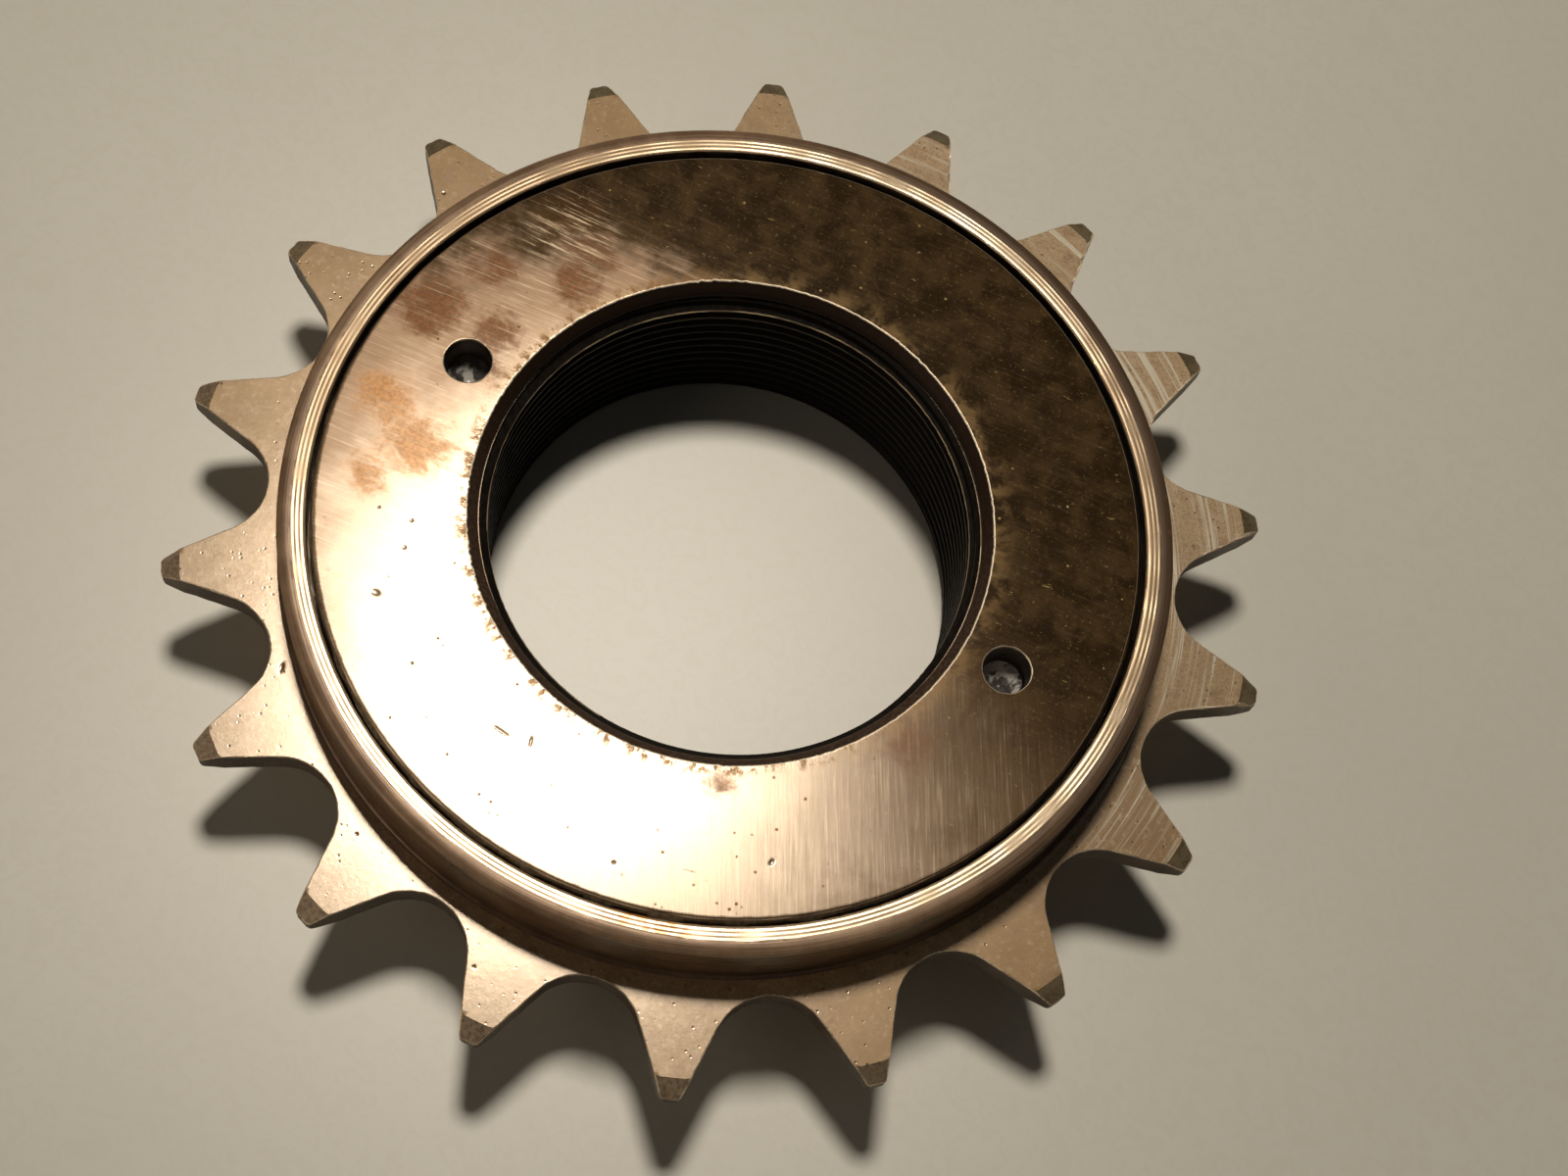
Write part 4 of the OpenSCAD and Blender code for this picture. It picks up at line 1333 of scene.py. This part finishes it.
def edge_grease():
    """Old grease and grime packed against the cone's outer edge, down in the gap, painted lighter on the
    highlight's side as a painted highlight.
    """
    n = Nodes("gap_grease")
    lumps = n.noise(n.place, 2.5, 4.0, 0.7)
    # Painted highlight: the grease is much lighter towards -100 degrees
    share = n.smooth(n.toward(-100.0), 0.0, 1.0)
    colour = n.mix(n.smooth(lumps, 0.35, 0.65), (0.012, 0.009, 0.007), (0.028, 0.019, 0.012))
    colour = n.mix(share, colour, n.mix(n.smooth(lumps, 0.35, 0.65), (0.16, 0.105, 0.06), (0.32, 0.23, 0.15)))
    return n.steel(colour, n.smooth(lumps, 0.3, 0.7, 0.45, 0.7), n.bump(lumps, 0.5, 0.03), 0.1, 1.45, 0.3)


def cone_under_steel():
    """Oiled steel of the cone below its face, with the front race."""
    n = Nodes("cone_under_steel")
    rings = n.noise(n.circles(6.0, 0.5), 1.0, 2.0)
    grease = n.noise(n.place, 0.6, 4.0, 0.6)
    colour = n.mix(n.smooth(grease, 0.4, 0.65), (0.12, 0.085, 0.055), (0.34, 0.28, 0.22))
    return n.steel(colour, n.smooth(grease, 0.35, 0.65, 0.28, 0.48), n.bump(rings, 0.4, 0.02))


def flange_steel():
    """Turned rear flange of the inner body."""
    n = Nodes("rear_flange_steel")
    rings = n.noise(n.circles(5.0, 0.5), 1.0, 3.0, 0.6)
    cloud = n.noise(n.place, 0.25, 4.0, 0.62, 0.4)
    grime = n.noise(n.place, 1.6, 4.0, 0.7)
    colour = n.mix(n.smooth(cloud, 0.35, 0.68), (0.26, 0.185, 0.13), (0.58, 0.46, 0.35))
    colour = n.mix(n.smooth(grime, 0.5, 0.7, 0.0, 0.7), colour, (0.10, 0.065, 0.04))
    return n.steel(colour, n.smooth(rings, 0.35, 0.65, 0.30, 0.48), n.bump(rings, 0.6, 0.03))


def body_side_steel():
    """Oiled steel of the inner body between the races."""
    n = Nodes("body_side_steel")
    grease = n.noise(n.place, 0.6, 4.0, 0.6)
    rings = n.noise(n.circles(6.0, 0.5), 1.0, 2.0)
    colour = n.mix(n.smooth(grease, 0.4, 0.65), (0.10, 0.07, 0.045), (0.28, 0.22, 0.17))
    return n.steel(colour, n.smooth(grease, 0.35, 0.65, 0.3, 0.5), n.bump(rings, 0.4, 0.02))


def thread_steel():
    """Hub thread: oiled steel painted near black as painted shade of the bore, with bright worn crests on the first
    turns that also carry a painted highlight.
    """
    n = Nodes("thread_steel")
    grain = n.noise(n.place, 2.2, 3.0, 0.65)
    grease = n.noise(n.place, 0.35, 3.0, 0.6)
    # Painted shade: the thread is coloured near black, darker than oiled steel, for the shaded bore
    colour = n.mix(n.smooth(grain, 0.35, 0.7), (0.007, 0.0055, 0.0045), (0.015, 0.011, 0.008))
    # The crest brightening is a painted highlight on the first turns
    crest = n.times(n.wear(), n.smooth(grease, 0.4, 0.6, 0.5, 1.0))
    colour = n.mix(crest, colour, (0.80, 0.63, 0.43))
    rough = n.smooth(grain, 0.3, 0.7, 0.42, 0.6)
    metal = n.smooth(crest, 0.2, 1.0, 0.1, 0.9)
    return n.steel(colour, rough, n.bump(grain, 0.4, 0.02), metal, 1.5, 0.12)


def shim_steel():
    """Thin rolled shims."""
    n = Nodes("shim_rolled_steel")
    rolled = n.noise(n.lines(10.0, 5.0, 0.2), 1.0, 3.0)
    colour = n.mix(n.smooth(rolled, 0.3, 0.7), (0.42, 0.40, 0.36), (0.66, 0.64, 0.60))
    return n.steel(colour, n.smooth(rolled, 0.3, 0.7, 0.26, 0.42), n.bump(rolled, 0.3, 0.01))


def pawl_steel():
    """Grey hardened pawls."""
    n = Nodes("pawl_hardened_steel")
    grain = n.noise(n.place, 3.0, 3.0, 0.6)
    cloud = n.noise(n.place, 0.6, 3.0, 0.6)
    colour = n.mix(n.smooth(cloud, 0.35, 0.65), (0.20, 0.18, 0.17), (0.40, 0.37, 0.35))
    return n.steel(colour, n.smooth(grain, 0.3, 0.7, 0.3, 0.5), n.bump(grain, 0.4, 0.02))


def spring_steel():
    """Blued spring leaves, drawn along their height."""
    n = Nodes("spring_blued_steel")
    drawn = n.noise(n.stretch(n.place, (0.6, 0.6, 6.0)), 1.0, 3.0)
    colour = n.mix(n.smooth(drawn, 0.3, 0.7), (0.10, 0.12, 0.18), (0.26, 0.28, 0.34))
    return n.steel(colour, n.smooth(drawn, 0.3, 0.7, 0.2, 0.36), n.bump(drawn, 0.3, 0.01))


def ball_steel():
    """Polished bearing balls under a film of oil."""
    n = Nodes("ball_oiled_steel")
    film = n.noise(n.place, 0.9, 3.0, 0.6)
    colour = n.mix(n.smooth(film, 0.45, 0.65), (0.74, 0.72, 0.69), (0.36, 0.28, 0.20))
    return n.steel(colour, n.smooth(film, 0.4, 0.7, 0.08, 0.3), n.bump(film, 0.15, 0.01))


def floor_material():
    """Pale painted table with a faint curled pattern and a broad soft gloss."""
    n = Nodes("pale_table")
    cloud = n.noise(n.place, 0.02, 3.0, 0.5)
    curl = n.noise(n.place, 0.55, 3.0, 0.55, 2.0)
    colour = n.mix(n.smooth(cloud, 0.3, 0.7), (0.545, 0.535, 0.474), (0.568, 0.559, 0.498))
    colour = n.mix(n.smooth(curl, 0.45, 0.62, 0.0, 0.35), colour, (0.517, 0.503, 0.432))
    return n.steel(colour, 0.42, n.bump(curl, 0.08, 0.02), 0.0, 1.5, 0.9)


# ---------------------------------------------------------------- stage

def make_floor():
    """A plain floor at the underside of the object."""
    half = 0.9
    mesh = bpy.data.meshes.new("floor")
    mesh.from_pydata([(-half, -half, 0), (half, -half, 0), (half, half, 0), (-half, half, 0)], [], [(0, 1, 2, 3)])
    mesh.materials.append(floor_material())
    floor = bpy.data.objects.new("floor", mesh)
    bpy.context.scene.collection.objects.link(floor)


def area_light(name, place, target, size, power, colour):
    """A round area light that faces a target; metres and watts."""
    lamp = bpy.data.lights.new(name, "AREA")
    lamp.shape = "DISK"
    lamp.size = size
    lamp.energy = power
    lamp.color = colour
    made = bpy.data.objects.new(name, lamp)
    made.location = place
    made.rotation_mode = "QUATERNION"
    made.rotation_quaternion = (Vector(target) - Vector(place)).to_track_quat("-Z", "Y")
    bpy.context.scene.collection.objects.link(made)


def make_lights():
    """A small warm key above and behind the object, with weak fills, as in the photograph."""
    key_height = 0.42
    towards = Vector((-0.181, 0.278, 1.0))
    area_light("key", towards * key_height, (0, 0, 0.01), 0.075, 1.27, (1.0, 0.90, 0.76))
    area_light("fill", (0.5, -0.6, 0.7), (0, 0, 0), 0.8, 0.09, (1.0, 0.95, 0.88))
    area_light("low_fill", (-0.227, -0.262, 0.20), (0, 0, 0), 0.25, 0.16, (1.0, 0.83, 0.66))
    world = bpy.data.worlds.new("studio")
    world.use_nodes = True
    back = world.node_tree.nodes["Background"]
    back.inputs["Color"].default_value = (0.80, 0.76, 0.68, 1.0)
    back.inputs["Strength"].default_value = 0.03
    bpy.context.scene.world = world


def make_camera():
    """The camera of the photograph, as fitted to the object's circles and teeth."""
    camera = bpy.data.cameras.new("camera")
    camera.sensor_width = 36.0
    camera.lens = 52.98
    camera.clip_start = 0.01
    camera.clip_end = 10.0
    made = bpy.data.objects.new("camera", camera)
    made.location = (0.0214, -0.06224, 0.15974)
    made.rotation_euler = [math.radians(a) for a in (22.043, -6.238, 29.837)]
    bpy.context.scene.collection.objects.link(made)
    bpy.context.scene.camera = made


def finish_nodes(material, slot, *names):
    """One material for CAD pieces that have no visual model of their own."""
    for name in names:
        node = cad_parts[name]
        node.data.materials.clear()
        node.data.materials.append(material)


make_camera()
make_floor()
make_lights()

shell = toothed_shell_piece([
    plate_steel(), flank_steel(), tip_steel(), burr_steel(), boss_steel(), rim_steel(), inside_steel(),
])
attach(shell, "shell")
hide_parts("toothed_shell")

cone = bearing_cone_piece([
    cone_face_steel(), bore_edge_steel(), hole_steel(), hole_bottom_steel(), cone_under_steel(), edge_grease(),
])
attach(cone, "hub_body")
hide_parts("bearing_cone")

body = inner_body_piece([flange_steel(), body_side_steel(), body_side_steel(), thread_steel()])
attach(body, "hub_body")
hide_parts("inner_body")

finish_nodes(shim_steel(), "shim_steel", "shim_1", "shim_2", "shim_3")
finish_nodes(pawl_steel(), "pawl_steel", "pawl_1", "pawl_2")
finish_nodes(spring_steel(), "spring_steel", "pawl_spring_1", "pawl_spring_2")
finish_nodes(
    ball_steel(), "ball_steel",
    *[f"{row}_balls_{k}" for row in ("front", "rear") for k in range(1, 6)],
)

bpy.context.scene.view_settings.view_transform = "Standard"
bpy.context.view_layer.update()
